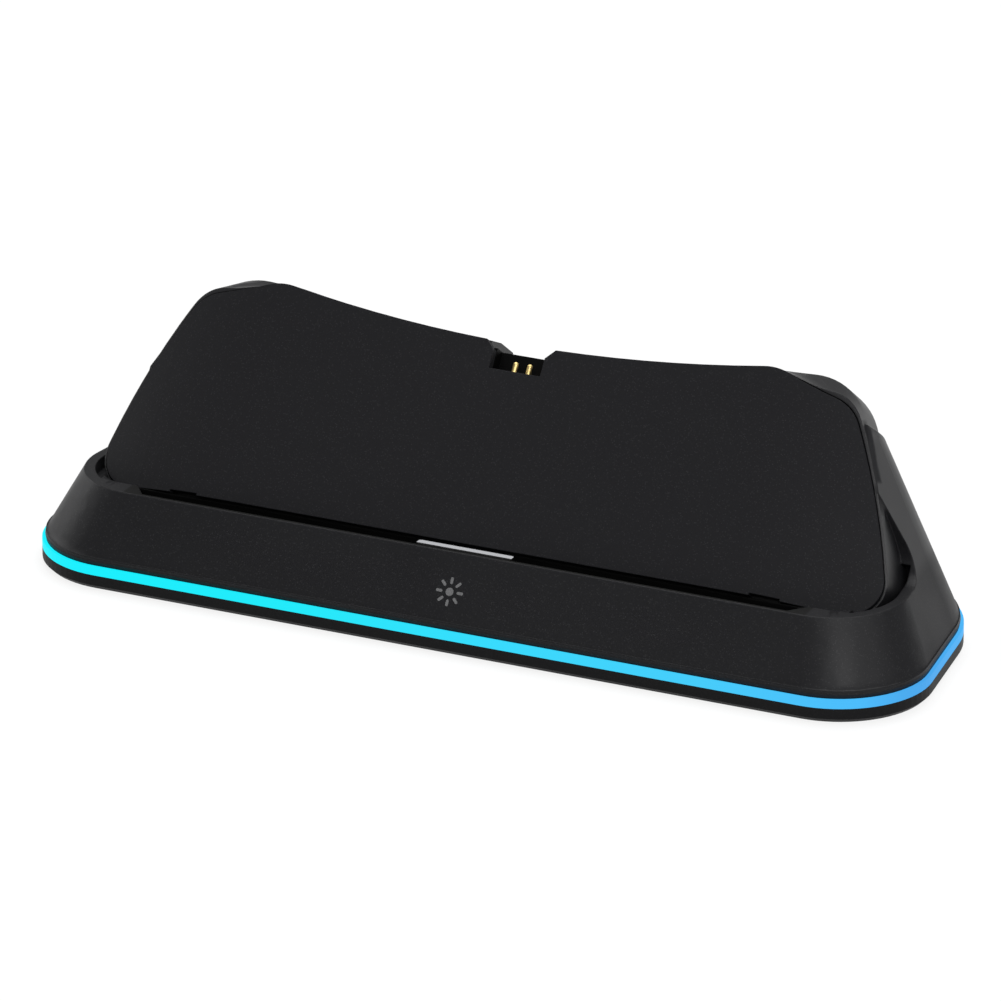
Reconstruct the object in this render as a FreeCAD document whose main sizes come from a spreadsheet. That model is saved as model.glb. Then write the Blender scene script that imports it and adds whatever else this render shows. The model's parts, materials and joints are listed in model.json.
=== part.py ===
"""Handheld console charging dock: a low flared base with a light band round its foot,
and a leaning tower whose saddle top holds two sprung charging contacts."""
import FreeCAD, Part
import math
import os

import Sketcher
from FreeCAD import Placement, Rotation, Vector

doc = FreeCAD.newDocument("charging_dock")

# Driving dimensions, in millimetres and degrees

SIZES = {
    # Footprint and foot of the dock
    "dock_length": 212.0,
    "dock_depth": 72.0,
    "front_corner": 21.0,
    "rear_corner": 30.0,
    "side_taper": 8.0,
    "foot_proud": 0.4,
    "tray_band": 3.4,
    "tray_floor": 2.6,
    "tray_edge": 1.0,
    "strip_height": 2.0,
    "strip_width": 4.0,
    "groove_height": 0.9,
    "groove_inset": 0.15,
    "slope_inset": 0.7,
    # Flared housing
    "slope_lean": 31.0,
    "flank_lean": 24.5,
    "back_lean": 18.0,
    "form_rise": 55.0,
    "top_front_corner": 6.0,
    "top_rear_corner": 8.0,
    "shell_wall": 2.4,
    "rim_rise": 14.0,
    "rim_flat": 0.9,
    "trough_depth": 4.0,
    "trough_margin": 23.7,
    "trough_skew": 4.6,
    "step_reach": 26.9,
    "step_round": 6.0,
    "step_rise": 28.0,
    "flank_face": 5.0,
    "moat_ledge": 2.3,
    "moat_depth": 3.0,
    "moat_overlap": 5.8,
    "ceiling_wall": 2.0,
    # Tower and its face panel
    "panel_lean": 36.0,
    "panel_setback": 5.0,
    "panel_lift": 0.2,
    "panel_thick": 2.0,
    "panel_gap": 0.3,
    "panel_reveal": 0.2,
    "side_rim": 0.55,
    "roll_width": 36.3,
    "roll_over": 7.7,
    "roll_radius": 85.0,
    "foot_margin": 10.0,
    "side_bow": 160.0,
    "shoulder_draw": 17.7,
    "shoulder_rise": 45.5,
    "dip_bow": 90.0,
    "peak_draw": 36.0,
    "peak_rise": 50.9,
    "saddle_bow": 361.0,
    "toe_corner": 8.0,
    "shoulder_corner": 9.0,
    "peak_corner": 12.0,
    "crest_depth": 7.5,
    "crest_corner": 15.0,
    "crest_draw": 20.9,
    "crest_rise": 52.8,
    "crest_peak_draw": 38.0,
    "crest_peak_rise": 51.8,
    "crest_bow": 300.0,
    "tower_depth": 17.5,
    "rear_bevel": 2.6,
    "root_depth": 34.0,
    "roof_rise": 42.5,
    "core_draw": 19.3,
    "side_room": 6.0,
    "window_low": 5.0,
    "window_high": 40.0,
    "window_draw": 12.3,
    "window_taper": 18.0,
    "window_corner": 6.0,
    # Notch for the charging contacts
    "notch_half": 6.2,
    "notch_mouth": 8.2,
    "notch_floor": 39.6,
    "notch_lead": 2.1,
    "seat_half": 11.0,
    "seat_low": 29.0,
    "slot_low": 32.0,
    "slot_half": 8.1,
    "slot_back": 8.2,
    "slot_clearance": 0.1,
    "contact_board_thick": 1.0,
    "block_floor": 38.5,
    "block_top": 44.7,
    "pocket_back": 5.4,
    "contact_depth": 3.7,
    "contact_pitch": 3.4,
    "barrel_radius": 1.05,
    "barrel_clearance": 0.05,
    "barrel_proud": 0.8,
    "barrel_floor": 0.5,
    "barrel_neck": 0.6,
    "plunger_radius": 0.6,
    "plunger_clearance": 0.03,
    "collar_radius": 0.78,
    "collar_length": 1.2,
    "collar_slack": 0.02,
    "plunger_proud": 3.4,
    "spring_radius": 0.55,
    "spring_wire": 0.1,
    "spring_turns": 5.0,
    "lead_hole_half": 3.6,
    "lead_hole_depth": 5.0,
    "lead_hole_width": 3.0,
    # Panel tabs
    "tab_draw": 13.6,
    "tab_upper_draw": 26.0,
    "tab_width": 7.0,
    "tab_length": 5.0,
    "tab_thick": 1.6,
    "tab_clearance": 0.2,
    "tab_relief": 0.5,
    # Light bar in the trough, its lamp and the touch key
    "bar_half": 11.7,
    "bar_width": 2.2,
    "bar_setback": 0.25,
    "bar_drop": 0.4,
    "bar_foot": 0.2,
    "stem_half": 3.0,
    "stem_width": 1.8,
    "stem_clearance": 0.1,
    "lamp_board_half": 9.0,
    "lamp_board_width": 5.6,
    "lamp_board_thick": 1.0,
    "lamp_length": 3.2,
    "lamp_width": 1.6,
    "lamp_height": 1.0,
    "lamp_gap": 0.3,
    "lamp_boss_place": 6.5,
    "lamp_boss_radius": 1.8,
    "touch_half": 11.0,
    "touch_rise": 0.9,
    "touch_height": 7.4,
    "touch_thick": 1.0,
    "touch_chip_size": 3.0,
    "touch_chip_thick": 0.8,
    # Light band board
    "band_board_half": 80.0,
    "band_board_gap": 1.0,
    "band_board_thick": 1.0,
    "band_board_height": 3.2,
    "band_lamp_pitch": 12.0,
    "band_lamp_length": 3.0,
    "band_lamp_height": 1.8,
    "band_lamp_gap": 0.2,
    # Screws, posts and feet
    "post_radius": 3.5,
    "post_height": 5.0,
    "post_bore": 1.7,
    "head_bore": 3.0,
    "head_depth": 4.0,
    "screw_head_radius": 2.7,
    "screw_head_height": 2.0,
    "screw_radius": 1.4,
    "screw_length": 8.0,
    "screw_clearance": 0.05,
    "boss_radius": 3.5,
    "front_boss_margin": 44.0,
    "front_boss_y": -21.0,
    "rear_boss_margin": 36.0,
    "rear_boss_y": 22.0,
    "rear_boss_height": 30.0,
    "foot_radius": 6.0,
    "foot_recess": 0.6,
    "foot_clearance": 0.3,
    "front_foot_margin": 22.0,
    "front_foot_y": -22.0,
    "rear_foot_margin": 26.0,
    "rear_foot_y": 14.0,
    # Main board and the parts on it
    "board_margin": 22.0,
    "board_depth": 30.0,
    "board_thick": 1.6,
    "board_post_radius": 2.5,
    "board_post_inset": 4.0,
    "board_screw_radius": 1.0,
    "board_head_radius": 1.9,
    "board_head_height": 1.2,
    "board_screw_length": 4.0,
    "socket_half": 4.5,
    "socket_height": 3.2,
    "socket_depth": 7.3,
    "socket_skin": 0.3,
    "socket_gap": 0.4,
    "socket_setback": 1.0,
    "tongue_half": 3.3,
    "tongue_thick": 0.7,
    "tongue_depth": 5.6,
    "inlet_half": 5.1,
    "inlet_height": 4.4,
    "inlet_recess_half": 6.6,
    "inlet_recess_height": 7.6,
    "inlet_recess_depth": 1.3,
    "chip_size": 8.0,
    "chip_height": 1.2,
    "coil_size": 7.0,
    "coil_height": 4.0,
    "cap_size": 3.2,
    "cap_height": 2.4,
    "ballast_margin": 12.0,
    "ballast_depth": 22.0,
    "ballast_thick": 4.0,
    "ballast_y": -15.0,
    "lead_radius": 0.6,
    "lead_bend": 3.0,
}

# Half widths that follow from the length of the dock, each drawn in by its own margin

TIED = {
    "foot_half": "=dock_length / 2 - foot_margin",
    "shoulder_half": "=foot_half - shoulder_draw",
    "peak_half": "=foot_half - peak_draw",
    "crest_half": "=foot_half - crest_draw",
    "crest_peak_half": "=foot_half - crest_peak_draw",
    "core_half": "=foot_half - core_draw",
    "roll_start": "=foot_half - roll_width",
    "roll_half": "=foot_half + roll_over",
    "moat_start": "=foot_half - moat_overlap",
    "trough_half": "=dock_length / 2 - trough_margin",
    "window_foot_half": "=foot_half - window_draw",
    "window_top_half": "=window_foot_half - window_taper",
    "tab_place": "=window_foot_half - tab_draw",
    "tab_upper_place": "=window_top_half - tab_upper_draw",
    "front_boss_x": "=dock_length / 2 - front_boss_margin",
    "rear_boss_x": "=dock_length / 2 - rear_boss_margin",
    "ballast_half": "=front_boss_x - ballast_margin",
    "board_half": "=front_boss_x - board_margin",
    "front_foot_x": "=dock_length / 2 - front_foot_margin",
    "rear_foot_x": "=dock_length / 2 - rear_foot_margin",
}

sheet = doc.addObject("Spreadsheet::Sheet", "sizes")
for row, (alias, value) in enumerate((SIZES | TIED).items(), start=1):
    sheet.set(f"A{row}", alias)
    sheet.set(f"B{row}", str(value))
    sheet.setAlias(f"B{row}", alias)
doc.recompute()


def s(alias):
    """Spreadsheet reference for one named size."""
    return f"sizes.{alias}"


def num(expression):
    """Present value of an expression."""
    result = sheet.evalExpression(str(expression))
    return float(getattr(result, "Value", result))


# Levels and lines that several pieces share, as expressions

TRAY_LOW = s("foot_proud")
TRAY_TOP = f"(sizes.foot_proud + sizes.tray_band)"
FLOOR_TOP = f"(sizes.foot_proud + sizes.tray_floor)"
STRIP_TOP = f"({TRAY_TOP} + sizes.strip_height)"
SHELL_LOW = f"({STRIP_TOP} + sizes.groove_height)"
RIM_Z = f"({SHELL_LOW} + sizes.rim_rise)"
FRONT_Y = "(-sizes.dock_depth / 2)"
BACK_Y = "(sizes.dock_depth / 2)"
SLOPE_Y = f"({FRONT_Y} + sizes.slope_inset)"
RIM_Y = f"({SLOPE_Y} + sizes.rim_rise * tan(sizes.slope_lean))"
PANEL_Y = f"({RIM_Y} + sizes.panel_setback)"
PANEL_Z = f"({RIM_Z} + sizes.panel_lift)"
CEILING_Z = f"({RIM_Z} - sizes.trough_depth - sizes.ceiling_wall)"
TROUGH_Z = f"({RIM_Z} - sizes.trough_depth)"
STEP_Y = f"({PANEL_Y} + sizes.step_reach)"
TAN_TAPER = "tan(sizes.side_taper)"
HALF_FRONT = (
    "(sizes.dock_length / 2 - sizes.front_corner"
    " + sizes.front_corner * (1 + sin(sizes.side_taper)) / cos(sizes.side_taper))"
)
SADDLE_LOW = (
    "(sizes.peak_rise - sizes.saddle_bow"
    " + sqrt(sizes.saddle_bow * sizes.saddle_bow - sizes.peak_half * sizes.peak_half))"
)
POST_TOP = f"({FLOOR_TOP} + sizes.post_height)"
BOARD_TOP = f"({POST_TOP} + sizes.board_thick)"
SOCKET_Z = f"({BOARD_TOP} + sizes.socket_height / 2)"
SOCKET_FRONT = (
    f"({BACK_Y} - sizes.slope_inset - sizes.shell_wall - sizes.socket_gap"
    f" - ({BOARD_TOP} + sizes.socket_height - {SHELL_LOW}) * tan(sizes.back_lean))"
)
BOARD_BACK = f"({SOCKET_FRONT} - sizes.socket_setback)"
BOARD_FRONT = f"({BOARD_BACK} - sizes.board_depth)"
BAR_Y = f"({RIM_Y} + sizes.panel_setback / 2 + sizes.rim_flat / 2 + sizes.bar_setback)"
LAMP_TOP = f"({CEILING_Z} - sizes.lamp_gap)"
LAMP_BOARD_TOP = f"({LAMP_TOP} - sizes.lamp_height)"
BARREL_LOW = "(sizes.slot_low + sizes.contact_board_thick)"
BARREL_TOP = "(sizes.block_floor + sizes.barrel_proud)"
COLLAR_TOP = f"({BARREL_TOP} - sizes.barrel_neck - sizes.collar_slack)"
COLLAR_LOW = f"({COLLAR_TOP} - sizes.collar_length)"


# Small helpers


def bind(thing, **expressions):
    """Bind properties of one object to expressions."""
    for name, expression in expressions.items():
        thing.setExpression(name, str(expression))
    return thing


def place(thing, x="0", y="0", z="0", lean=None):
    """Place an object by expressions, turned about X by the given angle."""
    if lean is not None:
        thing.Placement = Placement(Vector(), Rotation(Vector(1, 0, 0), num(lean)))
        thing.setExpression("Placement.Rotation.Angle", str(lean))
    thing.setExpression("Placement.Base.x", str(x))
    thing.setExpression("Placement.Base.y", str(y))
    thing.setExpression("Placement.Base.z", str(z))
    return thing


def tower_point(q, depth):
    """Y and Z of a point q up the panel face and depth behind it."""
    y = f"({PANEL_Y} + ({q}) * sin(sizes.panel_lean) + ({depth}) * cos(sizes.panel_lean))"
    z = f"({PANEL_Z} + ({q}) * cos(sizes.panel_lean) - ({depth}) * sin(sizes.panel_lean))"
    return y, z


def on_tower(thing, x="0", q="0", depth="0"):
    """Place an object with its own Z axis up the tower face and its Y axis into the tower."""
    y, z = tower_point(q, depth)
    return place(thing, x, y, z, "-sizes.panel_lean")


def box(name, width, depth, height):
    """Box with bound sides."""
    return bind(doc.addObject("Part::Box", name), Length=width, Width=depth, Height=height)


def span_box(name, x0, x1, y0, y1, z0, z1):
    """Box between bound planes, square to the axes."""
    block = box(name, f"({x1}) - ({x0})", f"({y1}) - ({y0})", f"({z1}) - ({z0})")
    return place(block, x0, y0, z0)


def tower_box(name, half, q0, q1, d0, d1):
    """Box in the leaning frame of the tower, centred on X."""
    block = box(name, f"2 * ({half})", f"({d1}) - ({d0})", f"({q1}) - ({q0})")
    return on_tower(block, f"-({half})", q0, d0)


def rod(name, radius, height):
    """Upright cylinder with bound size."""
    return bind(doc.addObject("Part::Cylinder", name), Radius=radius, Height=height)


def join(name, pieces):
    """One solid fused from several."""
    union = doc.addObject("Part::MultiFuse", name)
    union.Shapes = pieces
    union.Refine = True
    return union


def cut(name, base, tool):
    """One shape less another."""
    rest = doc.addObject("Part::Cut", name)
    rest.Base = base
    rest.Tool = tool
    rest.Refine = True
    return rest


def group(name, pieces):
    """Separate solids kept together as one node."""
    bundle = doc.addObject("Part::Compound", name)
    bundle.Links = pieces
    return bundle


def new_body(name):
    """Empty design body."""
    return doc.addObject("PartDesign::Body", name)


def new_sketch(body, name, role="XY_Plane", offset="0"):
    """Sketch on one of the body's own origin planes, shifted along its normal."""
    sketch = body.newObject("Sketcher::SketchObject", name)
    plane = [item for item in body.Origin.OriginFeatures if item.Role == role][0]
    sketch.AttachmentSupport = (plane, [""])
    sketch.MapMode = "FlatFace"
    if offset != "0":
        sketch.setExpression("AttachmentOffset.Base.z", offset)
    return sketch


class Edge:
    """One side of an outline: a line, or an arc with its centre."""

    def __init__(self, start, end, bow):
        self.start = start
        self.end = end
        self.bow = bow
        self.way = (end - start).normalize()
        self.left = Vector(-self.way.y, self.way.x, 0)
        self.centre = None
        if bow:
            half = (end - start).Length / 2
            reach = math.sqrt(bow * bow - half * half)
            side = self.left if bow > 0 else self.left * -1
            self.centre = (start + end) * 0.5 + side * reach

    def nearest(self, point):
        """Point of the edge's full line or circle that lies nearest."""
        if self.centre is None:
            return self.start + self.way * (point - self.start).dot(self.way)
        return self.centre + (point - self.centre).normalize() * abs(self.bow)

    def tangent(self, point):
        """Direction of travel at a point of the edge."""
        if self.centre is None:
            return self.way
        arm = (point - self.centre).normalize()
        turned = Vector(-arm.y, arm.x, 0)
        return turned if self.bow > 0 else turned * -1

    def inward(self, point):
        """Unit normal to the left of travel."""
        way = self.tangent(point)
        return Vector(-way.y, way.x, 0)


def round_centre(before, after, corner, radius, side):
    """Centre of the round between two edges, found by closing in from the corner."""
    bisector = (before.inward(corner) + after.inward(corner)).normalize()
    centre = corner + bisector * (side * radius)
    for _ in range(60):
        for edge in (before, after):
            foot = edge.nearest(centre)
            centre = foot + edge.inward(foot) * (side * radius)
    return centre


def outline(sketch, corners):
    """Closed outline through corners given as (x, y, round, bow) expressions.

    The round eases the corner; the bow bends the side that leaves it, outward when
    positive and inward when negative. None leaves a corner sharp or a side straight.
    """
    count = len(corners)
    points = [Vector(num(x), num(y), 0) for x, y, _, _ in corners]
    bows = [num(corner[3]) if corner[3] else 0.0 for corner in corners]
    sides = [Edge(points[i], points[(i + 1) % count], bows[i]) for i in range(count)]
    rounds = []
    for i, corner in enumerate(corners):
        before = sides[i - 1]
        after = sides[i]
        if not corner[2]:
            rounds.append(None)
            continue
        turn = before.tangent(points[i]).cross(after.tangent(points[i])).z
        side = 1.0 if turn > 0 else -1.0
        radius = num(corner[2])
        centre = round_centre(before, after, points[i], radius, side)
        rounds.append((centre, before.nearest(centre), after.nearest(centre), side, radius))

    def add(kind, *arguments):
        return sketch.addConstraint(Sketcher.Constraint(kind, *arguments))

    def arc(centre, radius, first, last):
        ring = Part.Circle(centre, Vector(0, 0, 1), radius)
        turn_a = math.atan2(first.y - centre.y, first.x - centre.x)
        turn_b = math.atan2(last.y - centre.y, last.x - centre.x)
        if turn_b < turn_a:
            turn_b += 2 * math.pi
        return Part.ArcOfCircle(ring, turn_a, turn_b)

    ids = []
    ends = []
    for i, side in enumerate(sides):
        first = rounds[i][2] if rounds[i] else points[i]
        last = rounds[(i + 1) % count][1] if rounds[(i + 1) % count] else points[(i + 1) % count]
        if side.centre is None:
            ids.append(sketch.addGeometry(Part.LineSegment(first, last)))
            ends.append((1, 2))
        elif side.bow > 0:
            ids.append(sketch.addGeometry(arc(side.centre, side.bow, first, last)))
            ends.append((1, 2))
        else:
            ids.append(sketch.addGeometry(arc(side.centre, -side.bow, last, first)))
            ends.append((2, 1))
    arcs = []
    for i, ease in enumerate(rounds):
        if not ease:
            arcs.append(None)
            continue
        centre, first, last, side, radius = ease
        shape = arc(centre, radius, first, last) if side > 0 else arc(centre, radius, last, first)
        arcs.append(sketch.addGeometry(shape))

    def lock(geometry, position, x, y):
        for kind, expression, axis in (("DistanceX", x, -2), ("DistanceY", y, -1)):
            if abs(num(expression)) < 1e-9:
                add("PointOnObject", geometry, position, axis)
                continue
            index = add(kind, -1, 1, geometry, position, num(expression))
            sketch.setExpression(f"Constraints[{index}]", str(expression))

    for i, (x, y, radius, bow) in enumerate(corners):
        before = ids[i - 1]
        after = ids[i]
        if rounds[i]:
            mark = sketch.addGeometry(Part.Point(points[i]), True)
            lock(mark, 1, x, y)
            add("PointOnObject", mark, 1, before)
            add("PointOnObject", mark, 1, after)
            first, last = (1, 2) if rounds[i][3] > 0 else (2, 1)
            add("Tangent", before, ends[i - 1][1], arcs[i], first)
            add("Tangent", arcs[i], last, after, ends[i][0])
            index = add("Radius", arcs[i], num(radius))
            sketch.setExpression(f"Constraints[{index}]", str(radius))
        else:
            add("Coincident", before, ends[i - 1][1], after, ends[i][0])
            lock(after, ends[i][0], x, y)
        if bow:
            index = add("Radius", after, abs(bows[i]))
            sketch.setExpression(f"Constraints[{index}]", f"abs({bow})")
    return sketch


def pad(body, name, sketch, length, **options):
    """Pad of a sketch with bound length."""
    feature = body.newObject("PartDesign::Pad", name)
    feature.Profile = sketch
    bind(feature, Length=length)
    for option, value in options.items():
        setattr(feature, option, value)
    return feature


def pocket(body, name, sketch, length, **options):
    """Pocket of a sketch with bound length."""
    feature = body.newObject("PartDesign::Pocket", name)
    feature.Profile = sketch
    bind(feature, Length=length)
    for option, value in options.items():
        setattr(feature, option, value)
    return feature


def loft(body, name, sketches):
    """Straight-sided loft through sketches."""
    feature = body.newObject("PartDesign::AdditiveLoft", name)
    feature.Profile = sketches[0]
    feature.Sections = sketches[1:]
    feature.Ruled = True
    return feature


# Plans and outlines


def plan(inset):
    """Footprint of the dock, drawn in by an inset."""
    front = f"({HALF_FRONT} - ({inset}) * ({TAN_TAPER} + 1 / cos(sizes.side_taper)))"
    rear = (
        f"({HALF_FRONT} - (sizes.dock_depth - ({inset})) * {TAN_TAPER}"
        f" - ({inset}) / cos(sizes.side_taper))"
    )
    low = f"{FRONT_Y} + ({inset})"
    high = f"{BACK_Y} - ({inset})"
    near = f"sizes.front_corner - ({inset})"
    far = f"sizes.rear_corner - ({inset})"
    return [
        (f"-{front}", low, near, None),
        (front, low, near, None),
        (rear, high, far, None),
        (f"-{rear}", high, far, None),
    ]


def flare(rise, inset, near, far):
    """Section of the flared housing at a rise above its foot."""
    low = f"({SLOPE_Y} + ({inset}) + ({rise}) * tan(sizes.slope_lean))"
    high = f"({BACK_Y} - sizes.slope_inset - ({inset}) - ({rise}) * tan(sizes.back_lean))"

    def half(y):
        return (
            f"({HALF_FRONT} - (sizes.slope_inset + ({inset})) / cos(sizes.side_taper)"
            f" - ({y} - {FRONT_Y}) * {TAN_TAPER} - ({rise}) * tan(sizes.flank_lean))"
        )

    return [
        (f"-{half(low)}", low, near, None),
        (half(low), low, near, None),
        (half(high), high, far, None),
        (f"-{half(high)}", high, far, None),
    ]


def crest(foot, low, shoulder, shoulder_rise, dip, peak, peak_rise, ease="0", corner="shoulder_corner"):
    """Outline of the tower: bowed sides, shoulders and a saddle top."""
    toe = f"sizes.toe_corner - ({ease})"
    knee = f"sizes.{corner} - ({ease})"
    return [
        (f"-({foot})", low, toe, None),
        (foot, low, toe, s("side_bow")),
        (shoulder, shoulder_rise, knee, f"-({dip})"),
        (peak, peak_rise, s("peak_corner"), f"-({s('saddle_bow')})"),
        (f"-({peak})", peak_rise, s("peak_corner"), f"-({dip})"),
        (f"-({shoulder})", shoulder_rise, knee, s("side_bow")),
    ]


def flared_form(name, inset, ledge, face, roof, step=None):
    """Flared body trimmed above its ledge, in front of its face and over its roof.

    The step, given as (y, round, rise), is where the ledge ends and the flank begins.
    """
    body = new_body(name)
    low = outline(
        new_sketch(body, f"{name}_foot", offset=SHELL_LOW),
        flare("0", inset, f"sizes.front_corner - sizes.slope_inset - ({inset})",
              f"sizes.rear_corner - sizes.slope_inset - ({inset})"),
    )
    high = outline(
        new_sketch(body, f"{name}_head", offset=f"{SHELL_LOW} + sizes.form_rise"),
        flare(s("form_rise"), inset, f"sizes.top_front_corner - ({inset})",
              f"sizes.top_rear_corner - ({inset})"),
    )
    loft(body, f"{name}_flare", [low, high])
    lean = s("panel_lean")
    meet = f"(({ledge} - {PANEL_Z} + ({face}) * sin({lean})) / cos({lean}))"
    meet_y, meet_z = tower_point(meet, face)
    brow_y, brow_z = tower_point(roof, face)
    tail_y, tail_z = tower_point(roof, s("dock_depth"))
    ahead = f"({FRONT_Y} * 1.2)"
    above = f"({SHELL_LOW} + sizes.form_rise * 1.5)"
    inner = [(meet_y, meet_z, None, None)]
    if step:
        step_y, step_round, step_rise = step
        crease_y, crease_z = tower_point(step_rise, face)
        inner = [(step_y, ledge, step_round, None), (crease_y, crease_z, None, None)]
    trim = outline(
        new_sketch(body, f"{name}_trim", role="YZ_Plane"),
        [
            (ahead, ledge, None, None),
            *inner,
            (brow_y, brow_z, None, None),
            (tail_y, tail_z, None, None),
            (tail_y, above, None, None),
            (ahead, above, None, None),
        ],
    )
    pocket(body, f"{name}_cut", trim, "sizes.dock_length * 2", SideType="Symmetric")
    return body


def roll(depth, outer, turn):
    """Half of a section whose ends roll back from the flat middle, closed at an outer level."""
    drop = "(sizes.roll_radius - sqrt(sizes.roll_radius ^ 2 - (sizes.roll_half - sizes.roll_start) ^ 2))"
    end = f"-({depth}) - {drop}"
    flat = f"-({depth})"
    face = [
        ("-sizes.roll_half", end, None, f"-({s('roll_radius')})"),
        ("-sizes.roll_start", flat, None, None),
        (s("roll_start"), flat, None, f"-({s('roll_radius')})"),
        (s("roll_half"), end, None, None),
        (s("roll_half"), outer, None, None),
        ("-sizes.roll_half", outer, None, None),
    ]
    back = [
        ("-sizes.roll_half", outer, None, None),
        (s("roll_half"), outer, None, None),
        (s("roll_half"), end, None, s("roll_radius")),
        (s("roll_start"), flat, None, None),
        ("-sizes.roll_start", flat, None, s("roll_radius")),
        ("-sizes.roll_half", end, None, None),
    ]
    return face if turn == "ahead" else back


def roll_cut(body, name, depth, turn):
    """Take away all that lies ahead of, or behind, a rolled face at a depth."""
    outer = s("roll_half") if turn == "ahead" else "-sizes.roll_half"
    sketch = outline(new_sketch(body, f"{name}_section", role="XZ_Plane"), roll(depth, outer, turn))
    return pocket(body, name, sketch, "sizes.dock_length * 2", SideType="Symmetric")


# Housing: flared lower form, leaning tower, hollow inside

lower_form = flared_form(
    "lower_form", "0", RIM_Z, s("flank_face"), s("roof_rise"),
    step=(STEP_Y, s("step_round"), s("step_rise")),
)
hollow = flared_form(
    "hollow",
    s("shell_wall"),
    CEILING_Z,
    "sizes.panel_thick + sizes.panel_gap + 2 * sizes.shell_wall",
    "sizes.roof_rise - sizes.shell_wall",
)
hollow_low = span_box("hollow_low", "-sizes.dock_length", s("dock_length"), "-sizes.dock_depth",
                      s("dock_depth"), "0", f"{SHELL_LOW} + sizes.side_room")
hollow_core = span_box("hollow_core", "-sizes.core_half", s("core_half"), "-sizes.dock_depth",
                       s("dock_depth"), "0", "2 * sizes.form_rise")
hollow_room = doc.addObject("Part::MultiCommon", "hollow_room")
hollow_room.Shapes = [hollow, join("hollow_bounds", [hollow_low, hollow_core])]

tower = new_body("tower")
place(tower, "0", PANEL_Y, PANEL_Z, "90 - sizes.panel_lean")
face_outline = crest(
    "sizes.foot_half + sizes.side_rim",
    "-sizes.panel_reveal",
    "sizes.shoulder_half + sizes.side_rim",
    "sizes.shoulder_rise + sizes.side_rim",
    s("dip_bow"),
    s("peak_half"),
    "sizes.peak_rise - sizes.panel_reveal",
)
bed_outline = crest(
    "sizes.foot_half + sizes.panel_reveal",
    "-sizes.panel_reveal",
    "sizes.shoulder_half + sizes.panel_reveal",
    "sizes.shoulder_rise + sizes.panel_reveal",
    s("dip_bow"),
    s("peak_half"),
    "sizes.peak_rise + sizes.panel_reveal",
)
crest_outline = crest(
    "sizes.foot_half + sizes.side_rim",
    "-sizes.panel_reveal",
    s("crest_half"),
    s("crest_rise"),
    s("crest_bow"),
    s("crest_peak_half"),
    s("crest_peak_rise"),
    corner="crest_corner",
)
rear_outline = crest(
    "sizes.foot_half - sizes.rear_bevel",
    s("rear_bevel"),
    "sizes.crest_half - sizes.rear_bevel",
    "sizes.crest_rise - sizes.rear_bevel",
    s("crest_bow"),
    s("crest_peak_half"),
    "sizes.crest_peak_rise - sizes.rear_bevel",
    ease="sizes.rear_bevel / 2",
    corner="crest_corner",
)
tower_sections = [
    ("tower_face", "0", face_outline),
    ("tower_crest", "-sizes.crest_depth", crest_outline),
    ("tower_back", "-(sizes.tower_depth - sizes.rear_bevel)", crest_outline),
    ("tower_tail", "-sizes.tower_depth", rear_outline),
]
loft(
    tower,
    "tower_slab",
    [outline(new_sketch(tower, label, offset=where), shape) for label, where, shape in tower_sections],
)
roll_cut(tower, "tower_front", s("panel_gap"), "ahead")

root = new_body("root")
place(root, "0", PANEL_Y, PANEL_Z, "90 - sizes.panel_lean")
root_sketch = outline(new_sketch(root, "root_outline", offset="-sizes.crest_depth"), face_outline)
pad(root, "root_reach", root_sketch, "sizes.root_depth - sizes.crest_depth", Reversed=True)
roll_cut(root, "root_front", "sizes.panel_thick + sizes.panel_gap", "ahead")
envelope = flared_form("envelope", "0", RIM_Z, s("panel_thick"), s("roof_rise"))
tower_root = doc.addObject("Part::MultiCommon", "tower_root")
tower_root.Shapes = [root, envelope]

panel_bed = new_body("panel_bed")
place(panel_bed, "0", PANEL_Y, PANEL_Z, "90 - sizes.panel_lean")
bed_sketch = outline(new_sketch(panel_bed, "panel_bed_outline", offset="-sizes.root_depth"), bed_outline)
pad(panel_bed, "panel_bed_reach", bed_sketch, "sizes.root_depth + sizes.tower_depth")
roll_cut(panel_bed, "panel_bed_back", "sizes.panel_thick + sizes.panel_gap", "behind")

moat_plan = new_body("moat_plan")
moat_sketch = outline(
    new_sketch(moat_plan, "moat_outline", offset=f"{RIM_Z} - sizes.moat_depth"),
    flare(s("rim_rise"), s("moat_ledge"), "sizes.front_corner * 0.7", "sizes.rear_corner * 0.7"),
)
pad(moat_plan, "moat_rise", moat_sketch, "2 * sizes.moat_depth")
moat_ends = [
    span_box(f"moat_end_{label}", low, high, FRONT_Y, STEP_Y, "0", f"{RIM_Z} + sizes.moat_depth")
    for label, low, high in (
        ("left", "-sizes.dock_length / 2", "-sizes.moat_start"),
        ("right", s("moat_start"), "sizes.dock_length / 2"),
    )
]
moat = doc.addObject("Part::MultiCommon", "moat")
moat.Shapes = [moat_plan, join("moat_end_pair", moat_ends)]

window = new_body("window")
place(window, "0", PANEL_Y, PANEL_Z, "90 - sizes.panel_lean")
window_sketch = outline(
    new_sketch(window, "window_outline", offset="-sizes.panel_thick / 2"),
    [
        ("-sizes.window_foot_half", s("window_low"), s("window_corner"), None),
        (s("window_foot_half"), s("window_low"), s("window_corner"), None),
        (s("window_top_half"), s("window_high"), s("window_corner"), None),
        ("-sizes.window_top_half", s("window_high"), s("window_corner"), None),
    ],
)
pad(window, "window_reach", window_sketch,
    "sizes.tower_depth - sizes.shell_wall - sizes.panel_thick / 2", Reversed=True)

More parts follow.
